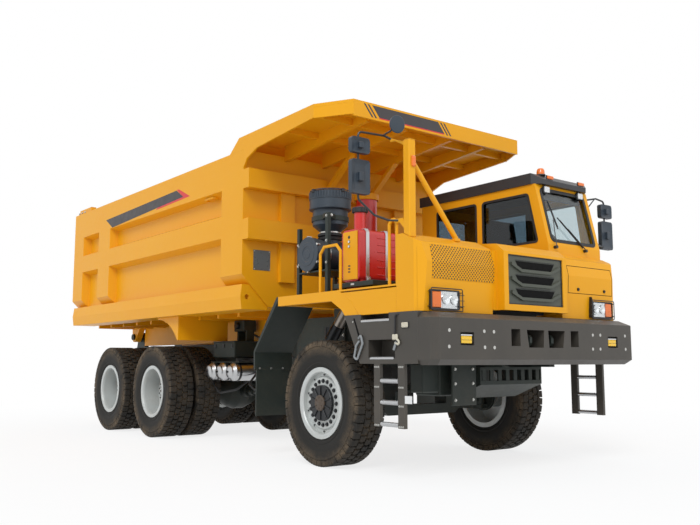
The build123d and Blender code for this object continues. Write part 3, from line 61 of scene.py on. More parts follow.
# Places taken from the solid parts
BOX = {name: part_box(name) for name in frame["nodes"]}
TYRE_LOW, TYRE_HIGH = BOX["tyre_front_right"]
AXLE_Z = (TYRE_LOW.z + TYRE_HIGH.z) / 2
TYRE_RADIUS = (TYRE_HIGH.z - TYRE_LOW.z) / 2
AXLE_X = {place: (BOX[node][0].x + BOX[node][1].x) / 2 for place, node in
          (("front", "tyre_front_right"), ("middle", "tyres_middle_right"),
           ("rear", "tyres_rear_right"))}
FACE_Y = -TYRE_LOW.y
FRONT_X = BOX["bumper"][1].x
TWIN_PITCH = 0.5         # between the middles of twin tyres


class TRUCK_PG_paint(bpy.types.PropertyGroup):
    """Colours of the truck's paints."""
    yellow: bpy.props.FloatVectorProperty(
        name="Yellow", description="Body paint", subtype="COLOR", size=3,
        default=(0.80, 0.350, 0.002), min=0, max=1)
    # Faded yellow: real paler patches of the paint, and also the painted highlight along the body's sharp
    # edges
    faded_and_edge_highlight: bpy.props.FloatVectorProperty(
        name="Faded yellow and edge highlight", description="Body paint where it has paled, and its painted edge highlight", subtype="COLOR", size=3,
        default=(0.81, 0.375, 0.006), min=0, max=1)
    dust: bpy.props.FloatVectorProperty(
        name="Dust", description="Dry earth on ledges and tyres", subtype="COLOR", size=3,
        default=(0.30, 0.22, 0.14), min=0, max=1)
    chassis: bpy.props.FloatVectorProperty(
        name="Chassis", description="Dark green-grey frame paint", subtype="COLOR", size=3,
        default=(0.017, 0.024, 0.021), min=0, max=1)
    bumper: bpy.props.FloatVectorProperty(
        name="Bumper", description="Dark warm grey of bumper and steps", subtype="COLOR", size=3,
        default=(0.052, 0.047, 0.040), min=0, max=1)
    red: bpy.props.FloatVectorProperty(
        name="Tank red", description="Paint of the tank and the hoist tube", subtype="COLOR",
        size=3, default=(0.62, 0.012, 0.010), min=0, max=1)
    filter_blue: bpy.props.FloatVectorProperty(
        name="Filter blue", description="Blue-black of the air cleaner and mirrors",
        subtype="COLOR", size=3, default=(0.018, 0.030, 0.044), min=0, max=1)
    rim: bpy.props.FloatVectorProperty(
        name="Rim silver", description="Paint of the wheel rims", subtype="COLOR", size=3,
        default=(0.56, 0.59, 0.58), min=0, max=1)


class TRUCK_PG_tyre(bpy.types.PropertyGroup):
    """Sizes of the tread."""
    lugs: bpy.props.IntProperty(
        name="Blocks", description="Blocks in each row round a tyre", default=46, min=20, max=80)
    depth: bpy.props.FloatProperty(
        name="Tread depth", description="Height of the tread blocks", default=0.028,
        min=0.005, max=0.06, unit="LENGTH")
    groove: bpy.props.FloatProperty(
        name="Groove", description="Gap between neighbouring blocks", default=0.015,
        min=0.004, max=0.05, unit="LENGTH")


class TRUCK_PG_fitting(bpy.types.PropertyGroup):
    """Sizes of rods and seals."""
    rod: bpy.props.FloatProperty(
        name="Rod", description="Radius of the thin mirror rods", default=0.012, min=0.004,
        max=0.04, unit="LENGTH")
    seal: bpy.props.FloatProperty(
        name="Seal", description="Width of the rubber seal round a window", default=0.030,
        min=0.008, max=0.08, unit="LENGTH")


# Shader node helpers
def feed(tree, socket, value):
    """Links an output to a socket, or sets a plain value on it."""
    if isinstance(value, bpy.types.NodeSocket):
        tree.links.new(value, socket)
    else:
        socket.default_value = value


def add_node(tree, kind, **values):
    """A node whose sockets or properties are set from plain values or linked outputs."""
    node = tree.nodes.new(kind)
    for key, value in values.items():
        name = key.replace("_", " ")
        if name in node.inputs:
            feed(tree, node.inputs[name], value)
        else:
            setattr(node, key, value)
    return node


def blend(tree, factor, first, second):
    """A colour between two."""
    node = tree.nodes.new("ShaderNodeMix")
    node.data_type = "RGBA"
    node.clamp_factor = True
    for index, value in ((0, factor), (6, first), (7, second)):
        feed(tree, node.inputs[index], value)
    return node.outputs[2]


def calc(tree, operation, first, second=0.0, clamp=False):
    """One sum on numbers."""
    node = tree.nodes.new("ShaderNodeMath")
    node.operation = operation
    node.use_clamp = clamp
    for index, value in enumerate((first, second)):
        feed(tree, node.inputs[index], value)
    return node.outputs[0]


def new_group(name, inputs, outputs):
    """An empty shader node group with named inputs (kind, default) and outputs."""
    tree = bpy.data.node_groups.new(name, "ShaderNodeTree")
    for label, (kind, default) in inputs.items():
        socket = tree.interface.new_socket(label, in_out="INPUT", socket_type=kind)
        socket.default_value = default
    for label, kind in outputs.items():
        tree.interface.new_socket(label, in_out="OUTPUT", socket_type=kind)
    return tree, tree.nodes.new("NodeGroupInput").outputs, tree.nodes.new("NodeGroupOutput").inputs


COLOR, FLOAT, VECTOR = "NodeSocketColor", "NodeSocketFloat", "NodeSocketVector"


def mottle_group():
    """Two sizes of cloudy patches, as values round a half."""
    tree, given, out = new_group("mottle", {"Size": (FLOAT, 1.0), "Contrast": (FLOAT, 2.0)},
                                 {"Patches": FLOAT, "Specks": FLOAT})
    place = add_node(tree, "ShaderNodeTexCoord").outputs["Object"]
    rate = calc(tree, "DIVIDE", 1.0, given["Size"])
    broad = add_node(tree, "ShaderNodeTexNoise", Vector=place, Scale=rate, Detail=4.0,
                     Roughness=0.6)
    fine = add_node(tree, "ShaderNodeTexNoise", Vector=place,
                    Scale=calc(tree, "MULTIPLY", rate, 14.0), Detail=3.0, Roughness=0.65)
    for noise, label in ((broad, "Patches"), (fine, "Specks")):
        middle = calc(tree, "SUBTRACT", noise.outputs[0], 0.5)
        spread = calc(tree, "MULTIPLY", middle, given["Contrast"])
        tree.links.new(calc(tree, "ADD", spread, 0.5, clamp=True), out[label])
    return tree


def ledge_dust_group(mottle):
    """Dry dust that settles on faces turned upwards and low on the machine."""
    tree, given, out = new_group(
        "ledge dust", {"Color": (COLOR, (1, 1, 1, 1)), "Dust": (COLOR, (0.3, 0.22, 0.14, 1)),
                       "On Tops": (FLOAT, 0.3), "Low Down": (FLOAT, 0.3),
                       "Low Height": (FLOAT, 1.5), "All Over": (FLOAT, 0.05)},
        {"Color": COLOR, "Mask": FLOAT})
    where = add_node(tree, "ShaderNodeTexCoord")
    facing = add_node(tree, "ShaderNodeSeparateXYZ", Vector=where.outputs["Normal"]).outputs["Z"]
    height = add_node(tree, "ShaderNodeSeparateXYZ", Vector=where.outputs["Object"]).outputs["Z"]
    tops = calc(tree, "MULTIPLY", calc(tree, "MAXIMUM", facing, 0.0), given["On Tops"])
    drop = calc(tree, "SUBTRACT", 1.0, calc(tree, "DIVIDE", height, given["Low Height"]))
    low = calc(tree, "MULTIPLY", calc(tree, "MAXIMUM", drop, 0.0), given["Low Down"])
    total = calc(tree, "ADD", calc(tree, "ADD", tops, low), given["All Over"])
    patches = add_node(tree, "ShaderNodeGroup", node_tree=mottle)
    patches.inputs["Size"].default_value = 0.45
    patches.inputs["Contrast"].default_value = 2.6
    uneven = calc(tree, "MULTIPLY", patches.outputs["Patches"],
                  calc(tree, "ADD", patches.outputs["Specks"], 0.5))
    mask = calc(tree, "MULTIPLY", total, uneven, clamp=True)
    tree.links.new(mask, out["Mask"])
    tree.links.new(blend(tree, mask, given["Color"], given["Dust"]), out["Color"])
    return tree


def rounded_edge_group():
    """A soft normal over sharp edges, with a mask of where those edges are."""
    tree, given, out = new_group("rounded edge", {"Radius": (FLOAT, 0.006)},
                                 {"Normal": VECTOR, "Edge": FLOAT})
    round_off = tree.nodes.new("ShaderNodeBevel")
    round_off.samples = 4
    tree.links.new(given["Radius"], round_off.inputs["Radius"])
    true_normal = add_node(tree, "ShaderNodeNewGeometry").outputs["Normal"]
    agree = tree.nodes.new("ShaderNodeVectorMath")
    agree.operation = "DOT_PRODUCT"
    tree.links.new(round_off.outputs[0], agree.inputs[0])
    tree.links.new(true_normal, agree.inputs[1])
    apart = calc(tree, "SUBTRACT", 1.0, agree.outputs["Value"])
    tree.links.new(calc(tree, "MULTIPLY", apart, 5.0, clamp=True), out["Edge"])
    tree.links.new(round_off.outputs[0], out["Normal"])
    return tree


def grain_group():
    """Fine unevenness of a coat or casting, as a height."""
    tree, given, out = new_group("grain", {"Size": (FLOAT, 0.004)}, {"Height": FLOAT})
    place = add_node(tree, "ShaderNodeTexCoord").outputs["Object"]
    fine = add_node(tree, "ShaderNodeTexNoise", Vector=place,
                    Scale=calc(tree, "DIVIDE", 1.0, given["Size"]), Detail=2.0)
    tree.links.new(fine.outputs[0], out["Height"])
    return tree


def wheel_ring_group():
    """Distance from a wheel's axle, for a vector already centred on it."""
    tree, given, out = new_group(
        "wheel ring", {"Vector": (VECTOR, (0, 0, 0)), "From": (FLOAT, 0.5), "To": (FLOAT, 0.7)},
        {"Mask": FLOAT, "Radius": FLOAT})
    parts = add_node(tree, "ShaderNodeSeparateXYZ", Vector=given["Vector"])
    across = calc(tree, "POWER", calc(tree, "ABSOLUTE", parts.outputs["X"]), 2.0)
    up = calc(tree, "POWER", calc(tree, "ABSOLUTE", parts.outputs["Z"]), 2.0)
    radius = calc(tree, "SQRT", calc(tree, "ADD", across, up))
    ramp = add_node(tree, "ShaderNodeMapRange", Value=radius)
    tree.links.new(given["From"], ramp.inputs["From Min"])
    tree.links.new(given["To"], ramp.inputs["From Max"])
    tree.links.new(ramp.outputs[0], out["Mask"])
    tree.links.new(radius, out["Radius"])
    return tree


GROUPS = {}
MATERIALS = {}


def build_groups():
    """Makes each shared node group once."""
    GROUPS["mottle"] = mottle_group()
    GROUPS["dust"] = ledge_dust_group(GROUPS["mottle"])
    GROUPS["edge"] = rounded_edge_group()
    GROUPS["grain"] = grain_group()
    GROUPS["ring"] = wheel_ring_group()


def use_group(tree, name, **values):
    """One of the shared groups, with its inputs set."""
    node = tree.nodes.new("ShaderNodeGroup")
    node.node_tree = GROUPS[name]
    for key, value in values.items():
        feed(tree, node.inputs[key.replace("_", " ")], value)
    return node


def mix_shaders(tree, share, first, second, output):
    """Mixes two shaders into the surface of an output node."""
    choose = tree.nodes.new("ShaderNodeMixShader")
    for index, socket in enumerate((share, first, second)):
        tree.links.new(socket, choose.inputs[index])
    tree.links.new(choose.outputs[0], tree.nodes[output].inputs["Surface"])


def opaque(color):
    """A colour with full alpha."""
    return (*color[:3], 1.0)


def new_material(name, **constants):
    """A material with one Principled shader whose even values are set on its own sockets."""
    material = bpy.data.materials.new(name)
    material.use_nodes = True
    shader = material.node_tree.nodes["Principled BSDF"]
    for key, value in constants.items():
        shader.inputs[key.replace("_", " ")].default_value = value
    MATERIALS[name] = material
    return material.node_tree, shader


def bump_grain(tree, shader, size, strength, distance, **more):
    """A fine bump over a whole material."""
    grain = use_group(tree, "grain", Size=size)
    bumped = add_node(tree, "ShaderNodeBump", Height=grain.outputs["Height"], Strength=strength,
                      Distance=distance, **more)
    tree.links.new(bumped.outputs[0], shader.inputs["Normal"])


def painted(name, color, other, roughness, dust, tops=0.25, low=0.25, all_over=0.04,
            edge=0.006, bump=0.0006, patch=0.9, edge_highlight=(0.5, 0.5, 0.5), edge_highlight_amount=0.0, **more):
    """Coated metal: patchy colour, settled dust, a painted highlight along sharp edges and a fine uneven
    coat.
    """
    tree, shader = new_material(name, **more)
    patches = use_group(tree, "mottle", Size=patch, Contrast=1.8)
    coat = blend(tree, patches.outputs["Patches"], opaque(color), opaque(other))
    edges = use_group(tree, "edge", Radius=edge)
    # Lighter colour laid along sharp edges: a painted highlight
    highlit_edges = blend(tree, calc(tree, "MULTIPLY", edges.outputs["Edge"], edge_highlight_amount), coat,
                   opaque(edge_highlight))
    settled = use_group(tree, "dust", Color=highlit_edges, Dust=opaque(dust), On_Tops=tops, Low_Down=low,
                        All_Over=all_over)
    tree.links.new(settled.outputs["Color"], shader.inputs["Base Color"])
    matt = calc(tree, "MULTIPLY", settled.outputs["Mask"], 0.45)
    vary = calc(tree, "MULTIPLY", calc(tree, "SUBTRACT", patches.outputs["Specks"], 0.5), 0.12)
    tree.links.new(calc(tree, "ADD", calc(tree, "ADD", matt, vary), roughness, clamp=True),
                   shader.inputs["Roughness"])
    bump_grain(tree, shader, 0.012, 0.25, bump, Normal=edges.outputs["Normal"])


def plain_coat(name, color, roughness, size=0.02, spread=0.25, bump=0.0004, **more):
    """Plastic, rubber or bare metal of small pieces: slight mottling and a fine grain."""
    tree, shader = new_material(name, **more)
    patches = use_group(tree, "mottle", Size=size * 6, Contrast=1.6)
    darker = tuple(channel * (1 - spread) for channel in color[:3])
    tree.links.new(blend(tree, patches.outputs["Specks"], opaque(darker), opaque(color)),
                   shader.inputs["Base Color"])
    vary = calc(tree, "MULTIPLY", calc(tree, "SUBTRACT", patches.outputs["Patches"], 0.5), 0.2)
    tree.links.new(calc(tree, "ADD", vary, roughness, clamp=True), shader.inputs["Roughness"])
    bump_grain(tree, shader, size, 0.2, bump)


def glass_sheet(name, color, roughness=0.03):
    """Glass, faintly smeared."""
    tree, shader = new_material(name, Transmission_Weight=1.0, IOR=1.45)
    patches = use_group(tree, "mottle", Size=0.5, Contrast=1.2)
    dim = tuple(channel * 0.9 for channel in color[:3])
    tree.links.new(blend(tree, patches.outputs["Patches"], opaque(dim), opaque(color)),
                   shader.inputs["Base Color"])
    smear = calc(tree, "MULTIPLY", patches.outputs["Specks"], roughness)
    tree.links.new(smear, shader.inputs["Roughness"])


def tyre_rubber(name, color, dust, place):
    """Tyre rubber: dusty brown on the shoulder, dark on the lower wall and in the grooves."""
    tree, shader = new_material(name, Specular_IOR_Level=0.22)
    centre = (AXLE_X[place], 0.0, AXLE_Z)
    shift = add_node(tree, "ShaderNodeMapping",
                     Vector=add_node(tree, "ShaderNodeTexCoord").outputs["Object"])
    shift.inputs["Location"].default_value = tuple(-value for value in centre)
    shoulder = use_group(tree, "ring", Vector=shift.outputs[0], From=0.56, To=0.70)
    tread = use_group(tree, "ring", Vector=shift.outputs[0], From=0.725, To=0.745)
    patches = use_group(tree, "mottle", Size=0.22, Contrast=3.2)
    cloud = calc(tree, "MULTIPLY", patches.outputs["Patches"],
                 calc(tree, "ADD", patches.outputs["Specks"], 0.35), clamp=True)
    brown = calc(tree, "MULTIPLY", shoulder.outputs["Mask"], cloud)
    worn_off = calc(tree, "SUBTRACT", 1.0, calc(tree, "MULTIPLY", tread.outputs["Mask"], 0.75))
    amount = calc(tree, "ADD", calc(tree, "MULTIPLY", brown, worn_off), 0.05, clamp=True)
    dark = blend(tree, patches.outputs["Specks"], opaque(tuple(c * 0.75 for c in color)),
                 opaque(color))
    tree.links.new(blend(tree, amount, dark, opaque(dust)), shader.inputs["Base Color"])
    tree.links.new(calc(tree, "ADD", calc(tree, "MULTIPLY", amount, 0.25), 0.68, clamp=True),
                   shader.inputs["Roughness"])
    bump_grain(tree, shader, 0.006, 0.4, 0.001)


def dress(node, finish):
    """Gives a solid part one material."""
    data = frame["nodes"][node].data
    data.materials.clear()
    data.materials.append(MATERIALS[finish])


class TRUCK_OT_paints(bpy.types.Operator):
    """Make every paint, rubber, glass and metal, and give them to the solid parts"""
    bl_idname = "truck.paints"
    bl_label = "Paints"

    def execute(self, context):
        paint = context.scene.truck_paint
        dust = tuple(paint.dust)
        build_groups()
        # The colour laid along sharp edges in each paint below is a painted highlight
        painted("body yellow", paint.yellow, paint.faded_and_edge_highlight, 0.40, dust, tops=0.08, low=0.08,
                all_over=0.008, edge_highlight=paint.faded_and_edge_highlight, edge_highlight_amount=0.4, Specular_IOR_Level=0.28)
        painted("chassis green", paint.chassis, tuple(c * 1.35 for c in paint.chassis), 0.5, dust,
                tops=0.12, low=0.10, all_over=0.015, edge_highlight=(0.10, 0.12, 0.11), edge_highlight_amount=0.35,
                Specular_IOR_Level=0.3)
        painted("bumper grey", paint.bumper, tuple(c * 1.2 for c in paint.bumper), 0.42, dust,
                tops=0.22, low=0.06, all_over=0.02, edge_highlight=(0.20, 0.19, 0.17), edge_highlight_amount=0.3,
                Specular_IOR_Level=0.35)
        painted("grille grey", (0.058, 0.066, 0.050), (0.070, 0.078, 0.060), 0.4, dust, tops=0.1,
                low=0.0, all_over=0.02, Specular_IOR_Level=0.4)
        painted("roof black", (0.022, 0.023, 0.026), (0.030, 0.031, 0.034), 0.4, dust, tops=0.12,
                low=0.0, all_over=0.02)
        painted("tank red", paint.red, tuple(c * 0.9 for c in paint.red), 0.3, dust, tops=0.12,
                low=0.02, all_over=0.01, Coat_Weight=0.4, Coat_Roughness=0.15)
        painted("filter blue", paint.filter_blue, tuple(c * 1.3 for c in paint.filter_blue), 0.42,
                dust, tops=0.18, low=0.02, all_over=0.02)
        painted("rim silver", paint.rim, tuple(c * 0.92 for c in paint.rim), 0.38, dust, tops=0.1,
                low=0.15, all_over=0.04, Metallic=0.2)
        # Near-black paint of the inner parts, also used as painted shade behind the perforated panel
        painted("dark parts and painted shade", (0.02, 0.02, 0.02), (0.03, 0.03, 0.028), 0.6, dust, tops=0.15,
                low=0.1, all_over=0.03)
        plain_coat("dark steel", (0.030, 0.032, 0.035), 0.38, size=0.01, Metallic=0.5)
        plain_coat("zinc", (0.60, 0.60, 0.57), 0.3, size=0.006, Metallic=0.85)
        plain_coat("deep black", (0.006, 0.006, 0.006), 0.7, size=0.01, Specular_IOR_Level=0.1)
        plain_coat("exhaust steel", (0.42, 0.38, 0.33), 0.35, size=0.02, Metallic=0.8)
        plain_coat("grey rubber", (0.30, 0.32, 0.33), 0.6, size=0.008)
        plain_coat("lamp cream", (0.62, 0.58, 0.46), 0.35, size=0.01, spread=0.1)
        plain_coat("plate grey", (0.10, 0.115, 0.12), 0.3, size=0.01, spread=0.1, Metallic=0.3)
        plain_coat("pale rim", (0.55, 0.56, 0.54), 0.35, size=0.008, spread=0.1)
        plain_coat("hub brown", (0.085, 0.060, 0.042), 0.55, size=0.012)
        plain_coat("black rubber", (0.020, 0.020, 0.021), 0.6, size=0.008, bump=0.0008)
        plain_coat("black plastic", (0.018, 0.020, 0.022), 0.42, size=0.004)
        plain_coat("hard chrome", (0.78, 0.79, 0.80), 0.14, size=0.02, spread=0.05, Metallic=1.0)
        plain_coat("bare steel", (0.55, 0.56, 0.57), 0.32, size=0.01, spread=0.12, Metallic=1.0)
        plain_coat("amber lens", (0.85, 0.17, 0.002), 0.30, size=0.02, spread=0.1,
                   Coat_Weight=0.5, Coat_Roughness=0.08)
        plain_coat("yellow lens", (0.9, 0.55, 0.02), 0.2, size=0.02, spread=0.1, Coat_Weight=0.5,
                   Coat_Roughness=0.08)
        plain_coat("lamp silver", (0.82, 0.84, 0.86), 0.12, size=0.012, spread=0.05, Metallic=1.0)
        plain_coat("stripe dark", (0.040, 0.034, 0.036), 0.45, size=0.02, spread=0.1)
        plain_coat("stripe red", (0.68, 0.02, 0.025), 0.4, size=0.02, spread=0.1)
        plain_coat("marking white", (0.78, 0.79, 0.78), 0.45, size=0.02, spread=0.08)
        # Dark glass: painted shade of the cab's inside in the right side's windows; the cab's other
        # windows are clear
        glass_sheet("tinted glass", (0.10, 0.15, 0.19))
        glass_sheet("clear glass", (0.72, 0.80, 0.82))
        glass_sheet("lamp glass", (0.94, 0.95, 0.95), roughness=0.05)
        for place in AXLE_X:
            tyre_rubber("rubber " + place, (0.015, 0.016, 0.016), (0.150, 0.112, 0.074), place)
        by_slot = {"yellow": "body yellow", "chassis_green": "chassis green",
                   "dark_grey": "bumper grey", "roof_black": "roof black",
                   "tank_red": "tank red", "cylinder_steel": "hard chrome",
                   "glass": "tinted glass", "filter_blue": "filter blue",
                   "tank_silver": "bare steel", "lamp": "lamp silver", "rim_grey": "rim silver"}
        for part in frame["record"]["subparts"]:
            node, slot = part["node"], part["material_slot"]
            if slot == "tyre":
                finish = "rubber " + node.split("_")[1]
            else:
                finish = by_slot[slot]
            dress(node, finish)
        for node, finish in (("radiator", "dark parts and painted shade"), ("cab_interior", "dark parts and painted shade"),
                             ("engine_block", "dark parts and painted shade"), ("grille", "grille grey"),
                             ("mud_panels", "chassis green"), ("step_boxes", "bumper grey"),
                             ("exhaust", "dark steel"), ("door_glass", "clear glass")):
            dress(node, finish)
        return {"FINISHED"}


# Mesh helpers
def finish_piece(name, bm, body, slot, *finishes, smooth=35):
    """Turns a bmesh into an object that rides on a body, with its place in its mesh."""
    bmesh.ops.recalc_face_normals(bm, faces=bm.faces)
    data = bpy.data.meshes.new(name)
    bm.to_mesh(data)
    bm.free()
    data.shade_smooth()
    data.set_sharp_from_angle(angle=math.radians(smooth))
    for finish in finishes:
        data.materials.append(MATERIALS[finish])
    piece = bpy.data.objects.new(name, data)
    bpy.context.scene.collection.objects.link(piece)
    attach(piece, body)
    return piece


def set_finish(faces, finish):
    """Gives faces one of their piece's materials."""
    for face in faces:
        face.material_index = finish


def faces_of(verts):
    """The faces that touch some vertices."""
    return {face for vert in verts for face in vert.link_faces}


def new_verts(bm, old):
    """The vertices that came after a kept set of old ones."""
    return [vert for vert in bm.verts if vert not in old]


def with_edges_and_faces(verts):
    """Some vertices with the edges and faces that touch them."""
    return [*verts, *{edge for vert in verts for edge in vert.link_edges}, *faces_of(verts)]


def push(bm, faces, along):
    """Extrudes faces along a vector, and returns the new vertices."""
    grown = bmesh.ops.extrude_face_region(bm, geom=faces)["geom"]
    verts = [part for part in grown if isinstance(part, bmesh.types.BMVert)]
    bmesh.ops.translate(bm, verts=verts, vec=along)
    return verts


def upright(x, y, z):
    """Corners of a rectangle across the truck; x is a place, or gives one for a height."""
    place = x if callable(x) else lambda height: x
    return [(place(height), width, height) for width, height in
            ((y[0], z[0]), (y[1], z[0]), (y[1], z[1]), (y[0], z[1]))]


def bevel_edges(bm, verts, size, sharp=40):
    """Bevels the sharp edges between some vertices."""
    edges = [edge for edge in {edge for vert in verts for edge in vert.link_edges}
             if len(edge.link_faces) == 2 and edge.calc_face_angle() > math.radians(sharp)]
    bmesh.ops.bevel(bm, geom=edges, offset=size, affect="EDGES", segments=1, profile=0.5,
                    material=-1)


def add_block(bm, low, high, bevel=0.0, finish=0):
    """A box between two corners, its edges bevelled."""
    low, high = Vector(low), Vector(high)
    place = Matrix.Translation((low + high) / 2) @ Matrix.Diagonal((*(high - low), 1))
    made = bmesh.ops.create_cube(bm, size=1, matrix=place)["verts"]
    set_finish(faces_of(made), finish)
    if bevel:
        bevel_edges(bm, made, bevel)


def add_rod(bm, start, end, radius, sides=16, finish=0, bevel=0.0, tip_radius=None):
    """A round rod, or a cone, between two points."""
    start, end = Vector(start), Vector(end)
    run = end - start
    turn = run.to_track_quat("Z", "Y").to_matrix().to_4x4()
    made = bmesh.ops.create_cone(
        bm, cap_ends=True, segments=sides, radius1=radius,
        radius2=radius if tip_radius is None else tip_radius, depth=run.length,
        matrix=Matrix.Translation((start + end) / 2) @ turn)["verts"]
    set_finish(faces_of(made), finish)
    if bevel:
        bevel_edges(bm, made, bevel)


def add_bolts(bm, points, direction, radius, finish=0, sides=6):
    """Bolt heads on washers, standing along a direction."""
    out = Vector(direction).normalized()
    for point in points:
        base = Vector(point)
        add_rod(bm, base, base + out * radius * 0.25, radius * 1.35, 12, finish)
        add_rod(bm, base + out * radius * 0.25, base + out * radius, radius, sides, finish)


def add_bent_rod(bm, points, radius, bend, sides=10, finish=0):
    """A round rod along straight runs, with a spun bend at each corner between them."""
    points = [Vector(point) for point in points]
    old = set(bm.verts)
    heading = (points[1] - points[0]).normalized()
    place = Matrix.Translation(points[0]) @ heading.to_track_quat("Z", "Y").to_matrix().to_4x4()
    ring = bmesh.ops.create_circle(bm, cap_ends=True, segments=sides, radius=radius,
                                   matrix=place)["verts"]
    edges = list({edge for vert in ring for edge in vert.link_edges})
    position = points[0]
    for index in range(1, len(points)):
        heading = (points[index] - points[index - 1]).normalized()
        stop = points[index]
        corner = index < len(points) - 1
        if corner:
            onward = (points[index + 1] - points[index]).normalized()
            angle = heading.angle(onward)
            cut_back = bend * math.tan(angle / 2)
            stop = points[index] - heading * cut_back
        grown = bmesh.ops.extrude_edge_only(bm, edges=edges)["geom"]
        ring = [part for part in grown if isinstance(part, bmesh.types.BMVert)]
        edges = [part for part in grown if isinstance(part, bmesh.types.BMEdge)
                 and all(vert in ring for vert in part.verts)]
        bmesh.ops.translate(bm, verts=ring, vec=stop - position)
        position = stop
        if corner and angle > 0.02:
            axis = heading.cross(onward).normalized()
            spun = bmesh.ops.spin(
                bm, geom=edges, cent=stop + axis.cross(heading) * bend, axis=axis, angle=angle,
                steps=max(2, round(math.degrees(angle) / 18)), dvec=(0, 0, 0),
                use_duplicate=False)["geom_last"]
            ring = [part for part in spun if isinstance(part, bmesh.types.BMVert)]
            edges = [part for part in spun if isinstance(part, bmesh.types.BMEdge)]
            position = points[index] + onward * cut_back
    bmesh.ops.contextual_create(bm, geom=edges)
    set_finish(faces_of(new_verts(bm, old)), finish)


def add_turned(bm, profile, centre, axis, steps=48, finish=0):
    """A shape turned about an axis: profile holds (distance along it, radius)."""
    axis = Vector(axis).normalized()
    outward = Vector((1, 0, 0)) if abs(axis.z) > 0.9 else Vector((0, 0, 1))
    old = set(bm.verts)
    verts = [bm.verts.new(Vector(centre) + axis * along + outward * radius)
             for along, radius in profile]
    edges = [bm.edges.new(pair) for pair in zip(verts, verts[1:])]
    bmesh.ops.spin(bm, geom=verts + edges, cent=centre, axis=axis, angle=math.tau, steps=steps,
                   use_merge=True, use_duplicate=False)
    made = new_verts(bm, old)
    set_finish(faces_of(made), finish)
    bmesh.ops.remove_doubles(bm, verts=made, dist=1e-5)


def add_band(bm, inner, outer, height, centre, axis, steps, finish=0):
    """A flat ring about an axis."""
    add_turned(bm, ((0, inner), (0, outer), (height, outer), (height, inner), (0, inner)), centre,
               axis, steps, finish)


def add_plate(bm, corners, thickness, finish=0, bevel=0.0):
    """A flat plate: its outline pushed along a vector."""
    face = bm.faces.new([bm.verts.new(corner) for corner in corners])
    made = push(bm, [face], thickness) + list(face.verts)
    set_finish(faces_of(made), finish)
    if bevel:
        bevel_edges(bm, made, bevel)


def rounded_face(bm, corners, rounding, segments=5):
    """A flat face whose corners are rounded off."""
    old = set(bm.faces)
    face = bm.faces.new([bm.verts.new(corner) for corner in corners])
    bmesh.ops.bevel(bm, geom=list(face.verts), offset=rounding, affect="VERTICES",
                    segments=segments, profile=0.5, material=-1)
    return max((part for part in bm.faces if part not in old), key=lambda part: part.calc_area())


def add_seal(bm, corners, width, thickness, rounding=0.055, finish=0):
    """A band round a window with rounded corners, pushed along a vector."""
    face = rounded_face(bm, corners, rounding)
    ring = bmesh.ops.inset_region(bm, faces=[face], thickness=width, depth=0, use_boundary=True,
                                  use_even_offset=True)["faces"]
    bmesh.ops.delete(bm, geom=[face], context="FACES_ONLY")
    set_finish(faces_of(push(bm, ring, thickness)), finish)


def ring_of(bm, count, centre, axis, make):
    """What make() adds, repeated evenly round an axis."""
    old = set(bm.verts)
    make()
    parts = with_edges_and_faces(new_verts(bm, old))
    bmesh.ops.spin(bm, geom=parts, cent=centre, axis=axis, dvec=(0, 0, 0),
                   angle=math.tau * (count - 1) / count, steps=count - 1, use_duplicate=True)


# Tyre wall: distance in from the outer face, and radius
TYRE_WALL = ((0.0475, 0.402), (0.036, 0.426), (0.030, 0.440), (0.020, 0.462), (0.012, 0.470),
             (0.012, 0.482), (0.016, 0.490), (0.006, 0.520), (0.0015, 0.560), (0.0, 0.585),
             (0.0005, 0.620), (0.004, 0.650), (0.001, 0.657), (0.001, 0.664), (0.010, 0.672),
             (0.022, 0.695), (0.034, 0.714), (0.044, 0.720))
TYRE_WIDTH = 0.425
TREAD_FLOOR = 0.720
# Section of a shoulder block: distance in from the outer face, and depth under the tread
SHOULDER = ((0.0165, 0.002), (0.022, 0.0), (0.112, 0.0), (0.112, 0.031), (0.026, 0.034),
            (0.016, 0.076), (0.003, 0.070), (0.006, 0.046))
# Outline of a block of the middle rows: share of its length, and distance in from the face
MIDDLE = ((-1.0, 0.127), (0.72, 0.122), (1.0, 0.162), (0.78, 0.205), (-0.94, 0.203),
          (-0.70, 0.164))


def tyre_template(tread):
    """One tyre about the Y axis, its outer face at y 0 and its width towards +Y."""
    bm = bmesh.new()
    inner = [(TYRE_WIDTH - inward, radius) for inward, radius in reversed(TYRE_WALL)]
    section = [*TYRE_WALL, *inner]
    add_turned(bm, [*section, section[0]], (0, 0, 0), (0, 1, 0), steps=2 * tread.lugs)
    half = (math.tau * TYRE_RADIUS / tread.lugs - tread.groove) / 2
    top = math.sqrt(TYRE_RADIUS ** 2 - half ** 2)
    step = math.pi / tread.lugs
    for row, (mirrored, shoulder) in enumerate(((False, True), (False, False), (True, False),
                                                (True, True))):
        old = set(bm.verts)
        if shoulder:
            corners = [(-half, inward, top - depth) for inward, depth in SHOULDER]
            add_plate(bm, corners, (2 * half, 0, 0), bevel=0.004)
        else:
            corners = [(share * half, inward, TREAD_FLOOR - 0.004) for share, inward in MIDDLE]
            add_plate(bm, corners, (0, 0, top - TREAD_FLOOR + 0.004), bevel=0.004)
        made = new_verts(bm, old)
        if mirrored:
            bmesh.ops.scale(bm, verts=made, vec=(1, -1, 1))
            bmesh.ops.translate(bm, verts=made, vec=(0, TYRE_WIDTH, 0))
        bmesh.ops.rotate(bm, verts=made, cent=(0, 0, 0),
                         matrix=Matrix.Rotation(step * (row % 2), 3, "Y"))
        bmesh.ops.spin(bm, geom=with_edges_and_faces(made), cent=(0, 0, 0), axis=(0, 1, 0), dvec=(0, 0, 0),
                       angle=math.tau - 2 * step, steps=tread.lugs - 1, use_duplicate=True)
    data = bpy.data.meshes.new("tyre template")
    bmesh.ops.recalc_face_normals(bm, faces=bm.faces)
    bm.to_mesh(data)
    bm.free()
    return data


